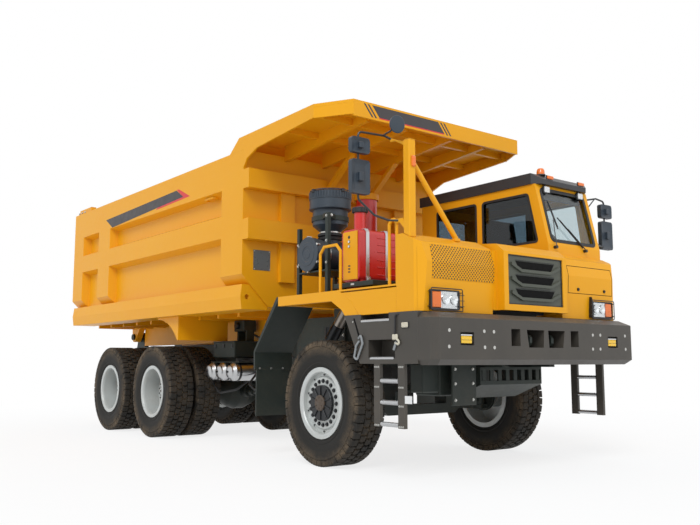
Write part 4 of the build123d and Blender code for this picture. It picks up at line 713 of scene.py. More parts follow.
class TRUCK_OT_tyres(bpy.types.Operator):
    """Model the tyres: walls with moulded rings and four rows of tread blocks"""
    bl_idname = "truck.tyres"
    bl_label = "Tyres"

    def execute(self, context):
        template = tyre_template(context.scene.truck_tyre)
        for place, x in AXLE_X.items():
            for label, side in SIDES:
                group = "tyre" if place == "front" else "tyres"
                node = f"{group}_{place}_{label}"
                body = f"{'wheel' if place == 'front' else 'wheels'}_{place}_{label}"
                pitches = (0,) if place == "front" else (0, TWIN_PITCH)
                bm = bmesh.new()
                for pitch in pitches:
                    face_y = side * (FACE_Y - pitch)
                    old = set(bm.verts)
                    bm.from_mesh(template)
                    made = new_verts(bm, old)
                    if side > 0:
                        bmesh.ops.scale(bm, verts=made, vec=(1, -1, 1))
                    bmesh.ops.translate(bm, verts=made, vec=(x, face_y, AXLE_Z))
                piece = finish_piece(f"rubber_{place}_{label}", bm, body, "tyre",
                                     "rubber " + place)
                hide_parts(node)
        bpy.data.meshes.remove(template)
        return {"FINISHED"}


NUTS = 20
NUT_CIRCLE = 0.262       # radius of the ring of wheel nuts
# Rings of nuts in a twin rim: depth from the outer face, radius, count, size, finish
TWIN_NUTS = ((0.4475, 0.285, NUTS, 0.019, 0), (0.25, 0.178, 14, 0.012, 0),
             (0.225, 0.095, 8, 0.010, 1))


class TRUCK_OT_wheel_fittings(bpy.types.Operator):
    """Add wheel nuts and hubs to the rims, and caps and vent holes, drawn as dark discs of painted shade,
    to the front ones
    """
    bl_idname = "truck.wheel_fittings"
    bl_label = "Wheel fittings"

    def execute(self, context):
        for label, side in SIDES:
            self.front(label, side)
            for place in ("middle", "rear"):
                self.twin(label, side, place)
        return {"FINISHED"}

    def nuts(self, bm, centre, inward, depth, radius, count, size, finish=0):
        """A ring of nuts on washers, standing out from a disc."""
        base = centre + inward * depth
        ring_of(bm, count, centre, inward,
                lambda: add_bolts(bm, [base + Vector((0, 0, radius))], -inward, size, finish))

    def front(self, label, side):
        """Nuts, a ribbed hub with its cap, and the vent holes of a front rim, drawn as dark discs of
        painted shade.
        """
        centre = Vector((AXLE_X["front"], side * FACE_Y, AXLE_Z))
        inward = Vector((0, -side, 0))
        bm = bmesh.new()
        self.nuts(bm, centre, inward, 0.070, NUT_CIRCLE, NUTS, 0.019)
        add_turned(bm, ((0.069, 0), (0.069, 0.2125), (0.034, 0.2125), (0.028, 0.206),
                        (0.028, 0.094), (0.0265, 0)), centre, inward)
        rib_low = centre + inward * 0.030 + Vector((-0.008, 0, 0.090))
        rib_high = centre + inward * 0.014 + Vector((0.008, 0, 0.200))
        low = Vector(map(min, rib_low, rib_high))
        high = Vector(map(max, rib_low, rib_high))
        ring_of(bm, 10, centre, inward, lambda: add_block(bm, low, high, bevel=0.003))
        add_turned(bm, ((0.030, 0), (0.030, 0.094), (0.010, 0.094), (0.003, 0.084), (0.003, 0.030),
                        (0.001, 0.024), (0.001, 0)), centre, inward, finish=1)
        self.nuts(bm, centre, inward, 0.004, 0.066, 6, 0.008, finish=1)
        # Vent holes: dark discs on the rim, painted shade of the openings
        hole_shade = centre + inward * 0.084 + Vector((0, 0, 0.338))
        ring_of(bm, 10, centre, inward,
                lambda: add_rod(bm, hole_shade, hole_shade - inward * 0.006, 0.011, 12))
        finish_piece(f"hub_fittings_front_{label}", bm, f"wheel_front_{label}", "chassis_green",
                     "dark steel", "hub brown")

    def twin(self, label, side, place):
        """Nuts deep in a twin rim and the hub's end."""
        centre = Vector((AXLE_X[place], side * FACE_Y, AXLE_Z))
        inward = Vector((0, -side, 0))
        bm = bmesh.new()
        for ring in TWIN_NUTS:
            self.nuts(bm, centre, inward, *ring)
        add_turned(bm, ((0.2245, 0), (0.2245, 0.060), (0.215, 0.054), (0.213, 0.0)), centre,
                   inward, finish=1)
        finish_piece(f"hub_fittings_{place}_{label}", bm, f"wheels_{place}_{label}",
                     "chassis_green", "dark steel", "hub brown")


# The nose's front face leans out to a crease and back above it
NOSE_FOOT, NOSE_CREASE, NOSE_BROW = (4.945, 1.763), (4.975, 2.285), (4.930, 2.490)
HEADLAMP_Y, HEADLAMP_Z = (1.18, 1.60), (1.783, 1.990)
LAMP_BACK_X = 4.945
FOG_Y, FOG_Z = (1.195, 1.370), (1.425, 1.530)
FOG_FRONT_X = BOX["headlamps"][1].x


def nose_x(z):
    """Front face of the nose at a height."""
    low, high = (NOSE_FOOT, NOSE_CREASE) if z < NOSE_CREASE[1] else (NOSE_CREASE, NOSE_BROW)
    return low[0] + (z - low[1]) / (high[1] - low[1]) * (high[0] - low[0])


def span(side, low, high):
    """Two distances from the middle plane, as a low and a high Y on one side."""
    return sorted((side * low, side * high))


def side_block(bm, side, x, y, z, bevel=0.0, finish=0):
    """A block given by its spans, its Y span mirrored to one side."""
    y_low, y_high = span(side, *y)
    add_block(bm, (x[0], y_low, z[0]), (x[1], y_high, z[1]), bevel, finish)


class TRUCK_OT_lamps(bpy.types.Operator):
    """Model the headlamps and fog lamps with reflectors, lenses and wire guards"""
    bl_idname = "truck.lamps"
    bl_label = "Lamps"

    def execute(self, context):
        bm = bmesh.new()
        for _, side in SIDES:
            self.headlamp(bm, side)
            self.fog_lamp(bm, side)
        piece = finish_piece("lamps_front", bm, "root", "lamp", "black plastic", "lamp silver",
                             "amber lens", "lamp glass", "yellow lens")
        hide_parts("headlamps")
        return {"FINISHED"}

    def headlamp(self, bm, side):
        """A housing with its rim, amber lens, two reflectors, glass and wire guard."""
        y_in, y_out = HEADLAMP_Y
        z_low, z_high = HEADLAMP_Z
        front = LAMP_BACK_X + 0.043
        side_block(bm, side, (LAMP_BACK_X, LAMP_BACK_X + 0.024), HEADLAMP_Y, HEADLAMP_Z, 0.005)
        rim = upright(LAMP_BACK_X + 0.02, (side * y_in, side * y_out), HEADLAMP_Z)
        add_seal(bm, rim, 0.014, (0.023, 0, 0), rounding=0.02)
        amber = (y_out - 0.150, y_out - 0.022)
        clear = (y_in + 0.018, amber[0] - 0.006)
        side_block(bm, side, (front - 0.020, front - 0.003), amber, (z_low + 0.02, z_high - 0.02),
                   0.006, 2)
        for line in (0.05, 0.085, 0.12):
            side_block(bm, side, (front - 0.004, front - 0.001), amber,
                       (z_low + line, z_low + line + 0.004), 0.0, 2)
        side_block(bm, side, (front - 0.019, front - 0.015), clear,
                   (z_low + 0.016, z_high - 0.016), 0.0, 1)
        for share in (0.25, 0.75):
            centre = (front - 0.016, side * (clear[0] + share * (clear[1] - clear[0])),
                      (z_low + z_high) / 2 + 0.01)
            add_turned(bm, ((0.0, 0.0), (0.001, 0.012), (0.004, 0.030), (0.011, 0.048),
                            (0.013, 0.056), (0.0, 0.058)), centre, (1, 0, 0), steps=28, finish=1)
            add_rod(bm, centre, (front - 0.007, centre[1], centre[2]), 0.009, 12, 3,
                    tip_radius=0.006)
        side_block(bm, side, (front - 0.003, front), clear, (z_low + 0.014, z_high - 0.014),
                   0.001, 3)
        guard = front + 0.012
        loop = [(guard, side * y, z) for y, z in
                ((y_in - 0.03, z_low - 0.012), (y_out + 0.012, z_low - 0.012),
                 (y_out + 0.012, z_high + 0.014), (y_in - 0.03, z_high + 0.014),
                 (y_in - 0.03, z_low - 0.004))]
        add_bent_rod(bm, loop, 0.0055, 0.02)
        for z in (z_low + 0.04, z_low + 0.10, z_low + 0.16):
            add_rod(bm, (guard, side * (y_in + 0.03), z), (guard, side * (y_in - 0.055), z),
                    0.004, 8)
        for y, z in ((y_in - 0.03, z_low + 0.03), (y_in - 0.03, z_high - 0.02),
                     (y_out + 0.012, z_low + 0.03), (y_out + 0.012, z_high - 0.02)):
            add_rod(bm, (nose_x(z), side * y, z), (guard, side * y, z), 0.005, 8)

    def fog_lamp(self, bm, side):
        """A housing with a barred yellow lens, a bright strip above it and three rods."""
        y_in, y_out = FOG_Y
        z_low, z_high = FOG_Z
        front = FOG_FRONT_X
        back = front - 0.05
        side_block(bm, side, (back, front - 0.012), FOG_Y, FOG_Z, 0.004)
        side_block(bm, side, (back - 0.006, back + 0.004), (y_in - 0.01, y_out + 0.01),
                   (z_low + 0.02, z_high - 0.02))
        side_block(bm, side, (front - 0.012, front - 0.002), (y_in + 0.01, y_out - 0.01),
                   (z_low + 0.006, z_high - 0.026), 0.002, 4)
        side_block(bm, side, (front - 0.012, front), (y_in + 0.004, y_out - 0.004),
                   (z_high - 0.022, z_high - 0.006), 0.003, 1)
        for column in range(1, 4):
            y = y_in + 0.01 + column * (y_out - y_in - 0.02) / 4
            side_block(bm, side, (front - 0.004, front), (y - 0.002, y + 0.002),
                       (z_low + 0.006, z_high - 0.026), 0.0, 4)
        side_block(bm, side, (front - 0.004, front - 0.001), (y_in + 0.01, y_out - 0.01),
                   (z_low + 0.038, z_low + 0.042), 0.0, 0)
        right_edge = max(side * y_in, side * y_out)
        for z in (z_low + 0.02, z_low + 0.05, z_low + 0.08):
            add_rod(bm, (front - 0.004, right_edge - 0.01, z),
                    (front - 0.004, right_edge + 0.028, z), 0.0035, 8)


# Middle of each bumper bolt on one side: distance from the middle plane, and height
BUMPER_BOLTS = ((1.543, 1.560), (1.548, 1.395), (1.026, 1.560), (0.876, 1.558), (1.020, 1.392),
                (0.870, 1.391))
BOLT_RADIUS = 0.0190
BOLT_PROUD = 0.0004      # how far a bolt's head stands past the bumper's face
PERFORATED_Y, PERFORATED_Z = (-1.564, -0.611), (2.107, 2.470)
CELLS, CELL, STRIP = 32, 0.0300, 0.0088    # cells along the lattice, their size, edge round a hole
GRILLE_FACE_X, GRILLE_RIM_X = 5.0515, 5.048
GRILLE_BARS_Z = (1.945, 2.103, 2.265)
# Flap on the left of the nose: its seams lie this far to each side of their middle lines
FLAP_Y, FLAP_Z, SEAM = (0.725, 1.628), (2.074, 2.408), 0.0035


def flush_x(z):
    """Just behind the nose's front face, where a thin plate on it starts."""
    return nose_x(z) - 0.001


class TRUCK_OT_nose(bpy.types.Operator):
    """Add the perforated panel, grille slots, seams and bolts of the nose and the bumper"""
    bl_idname = "truck.nose"
    bl_label = "Nose"

    def execute(self, context):
        self.perforated_panel()
        self.grille()
        self.seams()
        self.bumper()
        return {"FINISHED"}

    def perforated_panel(self):
        """A lattice of small square holes set on a corner, folded over the nose's crease, with a dark
        sheet of painted shade behind it.
        """
        y_low, y_high = PERFORATED_Y
        z_low, z_high = PERFORATED_Z
        middle = Vector((0, (y_low + y_high) / 2, (z_low + z_high) / 2))
        bm = bmesh.new()
        turn = Matrix.Rotation(math.radians(90), 4, "Y") @ Matrix.Rotation(math.radians(45), 4, "Z")
        bmesh.ops.create_grid(bm, x_segments=CELLS, y_segments=CELLS, size=CELLS * CELL / 2,
                              matrix=Matrix.Translation(middle) @ turn)
        holes = list(bm.faces)
        bmesh.ops.inset_individual(bm, faces=holes, thickness=STRIP)
        bmesh.ops.delete(bm, geom=holes, context="FACES")
        for place, normal, clear in (((0, y_low, 0), (0, -1, 0), True),
                                     ((0, y_high, 0), (0, 1, 0), True),
                                     ((0, 0, z_low), (0, 0, -1), True),
                                     ((0, 0, z_high), (0, 0, 1), True),
                                     ((0, 0, NOSE_CREASE[1]), (0, 0, 1), False)):
            parts = [*bm.verts, *bm.edges, *bm.faces]
            bmesh.ops.bisect_plane(bm, geom=parts, plane_co=place, plane_no=normal,
                                   clear_outer=clear)
        bmesh.ops.solidify(bm, geom=list(bm.faces), thickness=0.002)
        for vert in bm.verts:
            vert.co.x += nose_x(vert.co.z) + 0.0035
        finish_piece("perforated_panel", bm, "root", "yellow", "body yellow")
        # A near-black sheet behind the lattice: painted shade in its holes
        bm = bmesh.new()
        for low, high in ((z_low, NOSE_CREASE[1]), (NOSE_CREASE[1], z_high)):
            add_plate(bm, upright(nose_x, PERFORATED_Y, (low, high)), (0.0008, 0, 0))
        finish_piece("perforated_painted_shade", bm, "root", "dark_grey", "dark parts and painted shade")

    def grille(self):
        """Black plates in the slots over the three chevron bars, painted shade of their openings; a frame
        and its screws.
        """
        bm = bmesh.new()
        face = GRILLE_FACE_X
        for bar_z in GRILLE_BARS_Z:
            low, high = bar_z + 0.022, bar_z + 0.108
            # A black plate in the slot: painted shade of the opening
            corners = [(face, y, z) for y, z in
                       ((-0.285, low), (0.285, low), (0.345, high), (-0.345, high))]
            add_plate(bm, corners, (0.0022, 0, 0))
            add_block(bm, (face, -0.345, high + 0.006), (face + 0.006, 0.345, high + 0.012),
                      0.0, 1)
        rim = upright(GRILLE_RIM_X, (-0.492, 0.492), (1.871, 2.447))
        add_seal(bm, rim, 0.020, (0.010, 0, 0), rounding=0.03, finish=2)
        screws = [(5.058, y, z) for y in (-0.474, 0.474) for z in (1.90, 2.16, 2.42)]
        add_bolts(bm, screws, (1, 0, 0), 0.007, 1)
        finish_piece("grille_slots", bm, "root", "dark_grey", "deep black", "dark steel",
                     "black rubber")

    def seams(self):
        """Gaps round the flap on the left, its two studs and the fin beside the left lamp."""
        bm = bmesh.new()
        inner, outer = FLAP_Y
        low, high = FLAP_Z
        middle = NOSE_CREASE[1]
        depth = (0.0018, 0, 0)
        for z in ((2.078, middle), (middle, 2.405)):
            add_plate(bm, upright(flush_x, (inner - SEAM, inner + SEAM), z), depth)
        for z in FLAP_Z:
            add_plate(bm, upright(flush_x, FLAP_Y, (z - SEAM, z + SEAM)), depth)
        near, far = outer - SEAM, outer + SEAM
        add_plate(bm, [(flush_x(z), y, z) for y, z in
                       ((near, low), (far, low), (far, middle), (far, high), (near, high),
                        (near, middle))], depth)
        add_bolts(bm, [(nose_x(2.125) - 0.001, y, 2.125) for y in (0.92, 1.457)], (1, 0, 0),
                  0.016, 1, sides=12)
        wing = [(NOSE_FOOT[0] + 0.004, y, z) for y, z in
                ((1.144, 1.785), (1.176, 1.785), (1.176, 1.985), (1.150, 2.045))]
        add_plate(bm, wing, (0.05, 0, 0), finish=1, bevel=0.003)
        finish_piece("nose_seams", bm, "root", "dark_grey", "deep black", "dark steel")

    def bumper(self):
        """Bolts, their heads almost level with the bumper's face."""
        bm = bmesh.new()
        base_x = FRONT_X + BOLT_PROUD - BOLT_RADIUS
        points = [(base_x, side * y, z) for side in (-1, 1) for y, z in BUMPER_BOLTS]
        add_bolts(bm, points, (1, 0, 0), BOLT_RADIUS, sides=12)
        finish_piece("bumper_bolts", bm, "root", "dark_grey", "zinc")


# Treads: span along the truck, and height. Rungs: span along the truck, and heights
TREADS = (((4.014, 4.489), 1.688), ((4.170, 4.560), 1.279))
RUNG_X, RUNG_Y, RUNGS_Z = (4.337, 4.622), 1.725, (1.040, 0.814, 0.586)
SLEEVES, SLEEVE_PITCH = 9, 0.0325
STEP_FACE_Y = 1.7445     # outer side of the step boxes
SIDE_LAMP_X, SIDE_LAMP_Z = (4.700, 4.795), (1.595, 1.650)
TAG_X, TAG_Z = (4.714, 4.832), (0.812, 0.892)
# Grab loop on the right step box: place along the truck, distance out from the face, and height
GRAB_LOOP = ((3.975, 0.004, 1.500), (4.030, 0.018, 1.535), (4.062, 0.018, 1.440),
             (3.965, 0.018, 1.262), (3.915, 0.018, 1.290), (3.950, 0.018, 1.420),
             (3.995, 0.010, 1.470))


class TRUCK_OT_steps(bpy.types.Operator):
    """Add treads, rung sleeves, bolts, strap and hook to the steps and ladders"""
    bl_idname = "truck.steps"
    bl_label = "Steps"

    def execute(self, context):
        bm = bmesh.new()
        for _, side in SIDES:
            for x, z in TREADS:
                side_block(bm, side, x, (1.700, 1.752), (z - 0.012, z + 0.010), 0.004)
                for groove in (1.712, 1.726, 1.740):
                    side_block(bm, side, (x[0] + 0.01, x[1] - 0.01), (groove, groove + 0.006),
                               (z + 0.008, z + 0.013))
            y = side * RUNG_Y
            for z in RUNGS_Z:
                add_rod(bm, (RUNG_X[0], y, z), (RUNG_X[1], y, z), 0.0235, 20, bevel=0.003)
                for number in range(SLEEVES):
                    x = 4.35 + number * SLEEVE_PITCH
                    add_rod(bm, (x, y, z), (x + 0.012, y, z), 0.0255, 16)
            dots = [(x + shift, side * STEP_FACE_Y, z) for x, z in
                    ((4.285, 1.187), (4.674, 1.187), (4.285, 0.975), (4.674, 0.975),
                     (4.674, 0.782), (4.674, 0.572), (4.285, 0.572))
                    for shift in (-0.028, 0.0, 0.028)]
            add_bolts(bm, dots, (0, side, 0), 0.0085, 1)
            flap = [(1.80, side * width, 1.155) for width in (1.681, 1.501, 1.317, 1.12)]
            add_bolts(bm, flap, (1, 0, 0), 0.011, 1)
        self.gear(bm)
        finish_piece("step_fittings", bm, "root", "dark_grey", "bare steel", "zinc",
                     "black rubber", "lamp cream", "grey rubber", "deep black", "marking white")
        return {"FINISHED"}

    def gear(self, bm):
        """The side lamp, the strap with its hook, the grab loop and the blank tag."""
        face = -STEP_FACE_Y
        (back, front), (low, high) = SIDE_LAMP_X, SIDE_LAMP_Z
        add_block(bm, (back, face - 0.022, low), (front, face, high), 0.008, 3)
        add_block(bm, (back - 0.010, face - 0.006, low - 0.007),
                  (front + 0.010, face, high + 0.007), 0.003, 2)
        add_bent_rod(bm, [(4.66, face + 0.01, 1.742), (4.60, face - 0.014, 1.735),
                          (4.595, face - 0.014, 1.53)], 0.0095, 0.03, finish=2)
        add_block(bm, (4.555, face - 0.024, 1.470), (4.640, face - 0.004, 1.530), 0.008, 3)
        add_bent_rod(bm, [(4.60, face - 0.014, 1.50), (4.665, face - 0.016, 1.45),
                          (4.655, face - 0.016, 1.42), (4.60, face - 0.014, 1.44)], 0.012, 0.012,
                     finish=3)
        add_bent_rod(bm, [(4.615, face - 0.012, 1.45), (4.575, face - 0.012, 1.365)], 0.014, 0.01,
                     finish=4)
        # The slot: a thin black plate, painted shade of its opening
        slot = [(3.876, face, 1.724), (3.900, face, 1.724), (3.988, face, 1.535),
                (3.964, face, 1.520)]
        add_plate(bm, slot, (0, -0.002, 0), finish=5)
        add_bolts(bm, [(3.872, face, 1.685)], (0, -1, 0), 0.008, 1)
        add_bent_rod(bm, [(x, face - out, z) for x, out, z in GRAB_LOOP], 0.0125, 0.02, finish=4)
        add_block(bm, (TAG_X[0], -1.741, TAG_Z[0]), (TAG_X[1], -1.735, TAG_Z[1]), 0.002, 6)
        add_block(bm, (4.690, -1.739, 0.845), (4.720, -1.736, 0.860), 0.0, 1)


# Cab: outer faces, and the windscreen's plane
CAB_Y = (0.62, 1.69)
SCREEN_FOOT, SCREEN_TOP = (4.770, 2.690), (4.582, 3.480)
SIDE_WINDOWS = (((3.687, 2.72), (4.627, 2.72), (4.480, 3.375), (3.687, 3.375)),
                ((2.817, 2.72), (3.595, 2.72), (3.595, 3.375), (2.817, 3.375)))
DOOR_WINDOW = ((3.72, 2.74), (4.52, 2.74), (4.435, 3.37), (3.72, 3.37))
SCREEN_Y, SCREEN_Z = (0.71, 1.60), (2.74, 3.42)
BACK_Y, BACK_Z = (0.77, 1.54), (2.75, 3.35)
CAB_BACK_X = 2.520
ROOF_FRONT_X = 4.650
# Wipers: places of the arm from its foot, then the ends of the blade, each as Y and height
WIPERS = ((((0.74, 2.655), (0.775, 2.90), (0.815, 3.10)), ((0.775, 3.27), (0.865, 2.90))),
          (((1.345, 2.655), (1.19, 2.80), (1.06, 2.92)), ((0.905, 3.055), (1.300, 2.690))))
MARKERS_Y, MARKER_Z = ((0.772, 0.894), (1.415, 1.538)), (3.550, 3.592)
WORK_LAMPS_Y, WORK_LAMP_Z = (0.805, 1.500), 3.417
# Layers of a work lamp: back, front, half its width, half its height, bevel, finish
WORK_LAMP = ((4.585, 4.630, 0.058, 0.045, 0.012, 1), (4.628, 4.636, 0.050, 0.037, 0.004, 2),
             (4.634, 4.638, 0.052, 0.039, 0.002, 3))
BEACON = (4.520, 0.830, 3.618)


def screen_x(z):
    """Front face of the cab at a height."""
    share = (z - SCREEN_FOOT[1]) / (SCREEN_TOP[1] - SCREEN_FOOT[1])
    return SCREEN_FOOT[0] + share * (SCREEN_TOP[0] - SCREEN_FOOT[0])


class TRUCK_OT_cab_fittings(bpy.types.Operator):
    """Add window seals, panes, wipers, roof lights, a sun visor and the door's handle"""
    bl_idname = "truck.cab_fittings"
    bl_label = "Cab fittings"

    def execute(self, context):
        seal = context.scene.truck_fitting.seal
        bm = bmesh.new()
        for window in SIDE_WINDOWS:
            add_seal(bm, [(x, CAB_Y[0] + 0.006, z) for x, z in window], seal, (0, -0.010, 0))
        add_seal(bm, [(x, CAB_Y[1] - 0.006, z) for x, z in SIDE_WINDOWS[1]], seal, (0, 0.010, 0))
        add_seal(bm, upright(CAB_BACK_X + 0.006, BACK_Y, BACK_Z), seal, (-0.010, 0, 0))
        lap = 0.02               # the windscreen's seal lies this far outside the opening
        screen = upright(lambda z: screen_x(z) - 0.006, (SCREEN_Y[0] - lap, SCREEN_Y[1] + lap),
                         (SCREEN_Z[0] - lap, SCREEN_Z[1] + lap))
        add_seal(bm, screen, seal + 0.014, (0.011, 0, 0.0025), rounding=0.07)
        finish_piece("window_seals", bm, "root", "glass", "black rubber")
        bm = bmesh.new()
        add_seal(bm, [(x, CAB_Y[1] - 0.002, z) for x, z in DOOR_WINDOW], seal, (0, 0.008, 0))
        self.door(bm)
        finish_piece("door_fittings", bm, "cab_door", "glass", "black rubber", "black plastic",
                     "bare steel")
        self.panes()
        self.wipers()
        self.roof()
        self.visor()
        return {"FINISHED"}

    def panes(self):
        """Rounded sheets: dark glass in the right side's windows, painted shade of the cab's inside, and
        clear glass in the others.
        """
        bm = bmesh.new()
        recess, sheet = 0.022, 0.005
        # The dark glass paints the shade of the cab's inside into the right side's windows
        dark, clear = 0, 1
        sheets = [(upright(lambda z: screen_x(z) - recess, SCREEN_Y, SCREEN_Z), (-sheet, 0, 0),
                   clear)]
        for window in SIDE_WINDOWS:
            sheets.append(([(x, CAB_Y[0] + recess, z) for x, z in window], (0, sheet, 0), dark))
        sheets.append(([(x, CAB_Y[1] - recess, z) for x, z in SIDE_WINDOWS[1]],
                       (0, -sheet, 0), clear))
        sheets.append((upright(CAB_BACK_X + recess, BACK_Y, BACK_Z), (sheet, 0, 0), clear))
        for corners, thickness, finish in sheets:
            face = rounded_face(bm, corners, 0.05)
            set_finish(faces_of(push(bm, [face], thickness)) | {face}, finish)
        piece = finish_piece("cab_panes", bm, "root", "glass", "tinted glass", "clear glass")
        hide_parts("cab_glass")

    def door(self, bm):
        """The handle on its backing plate."""
        face = CAB_Y[1] + 0.0005
        add_block(bm, (3.70, face, 2.575), (3.86, face + 0.006, 2.655), 0.003, 1)
        add_bent_rod(bm, [(3.715, face, 2.615), (3.715, face + 0.030, 2.615),
                          (3.845, face + 0.030, 2.615), (3.845, face, 2.615)], 0.008, 0.012,
                     finish=2)

    def wipers(self):
        """Two wipers lying on the windscreen."""
        bm = bmesh.new()

        def on_screen(y, z, off):
            return Vector((screen_x(z) + off, y, z))

        for arm, blade in WIPERS:
            points = [on_screen(y, z, 0.030) for y, z in arm]
            add_bent_rod(bm, points, 0.0065, 0.02, sides=8)
            add_rod(bm, on_screen(*arm[0], -0.01), on_screen(*arm[0], 0.038), 0.020, 14)
            start, end = (on_screen(y, z, 0.016) for y, z in blade)
            add_rod(bm, start, end, 0.008, 6)
            add_rod(bm, start + (end - start) * 0.08 + Vector((0.012, 0, 0)),
                    end - (end - start) * 0.08 + Vector((0.012, 0, 0)), 0.004, 6)
        finish_piece("wipers", bm, "root", "dark_grey", "black plastic")

    def roof(self):
        """Marker lamps, work lamps and the beacon."""
        bm = bmesh.new()
        z_low, z_high = MARKER_Z
        for y_low, y_high in MARKERS_Y:
            add_block(bm, (ROOF_FRONT_X - 0.002, y_low - 0.006, z_low - 0.006),
                      (ROOF_FRONT_X + 0.008, y_high + 0.006, z_high + 0.006), 0.003, 1)
            add_block(bm, (ROOF_FRONT_X + 0.006, y_low, z_low),
                      (ROOF_FRONT_X + 0.028, y_high, z_high), 0.008, 0)
        for y in WORK_LAMPS_Y:
            for back, front, width, height, bevel, finish in WORK_LAMP:
                add_block(bm, (back, y - width, WORK_LAMP_Z - height),
                          (front, y + width, WORK_LAMP_Z + height), bevel, finish)
            add_rod(bm, (4.600, y, 3.455), (4.600, y, 3.492), 0.012, 10, 1)
        add_turned(bm, ((0.0, 0.0), (0.0, 0.062), (0.016, 0.062), (0.018, 0.0)), BEACON, (0, 0, 1),
                   steps=28, finish=1)
        add_turned(bm, ((0.014, 0.0), (0.014, 0.054), (0.070, 0.050), (0.094, 0.036), (0.102, 0.0)),
                   BEACON, (0, 0, 1), steps=28, finish=0)
        finish_piece("roof_lights", bm, "root", "lamp", "amber lens", "black plastic",
                     "lamp silver", "lamp glass")

    def visor(self):
        """The sun visor behind the windscreen."""
        bm = bmesh.new()
        corners = [(screen_x(3.40) - 0.050, 0.76, 3.40), (screen_x(3.40) - 0.050, 1.56, 3.40),
                   (screen_x(3.30) - 0.055, 1.56, 3.30), (screen_x(3.30) - 0.055, 0.76, 3.30)]
        add_plate(bm, corners, (-0.012, 0, 0), bevel=0.003)
        finish_piece("sun_visor", bm, "root", "dark_grey", "black plastic")


# Mirrors
POST_X, POST_Y, POST_TOP_Z = (4.720, 4.820), (-1.740, -1.640), 3.600
POST_MIDDLE = (4.770, -1.690)
RIGHT_HEADS = ((3.010, 3.384), (3.456, 3.628))
LEFT_HEADS = ((2.758, 3.145), (3.191, 3.380))
HEAD_Y = (1.980, 2.230)
FRAME_Y = 2.110
RIGHT_MIRROR_X, LEFT_MIRROR_X = 4.420, 4.570
LEFT_ROOTS_Z = (2.790, 3.400)


def nose_top(x):
    """Height of the nose box's sloping top."""
    return 2.490 + (4.930 - x) / (4.930 - 4.715) * (2.593 - 2.490)


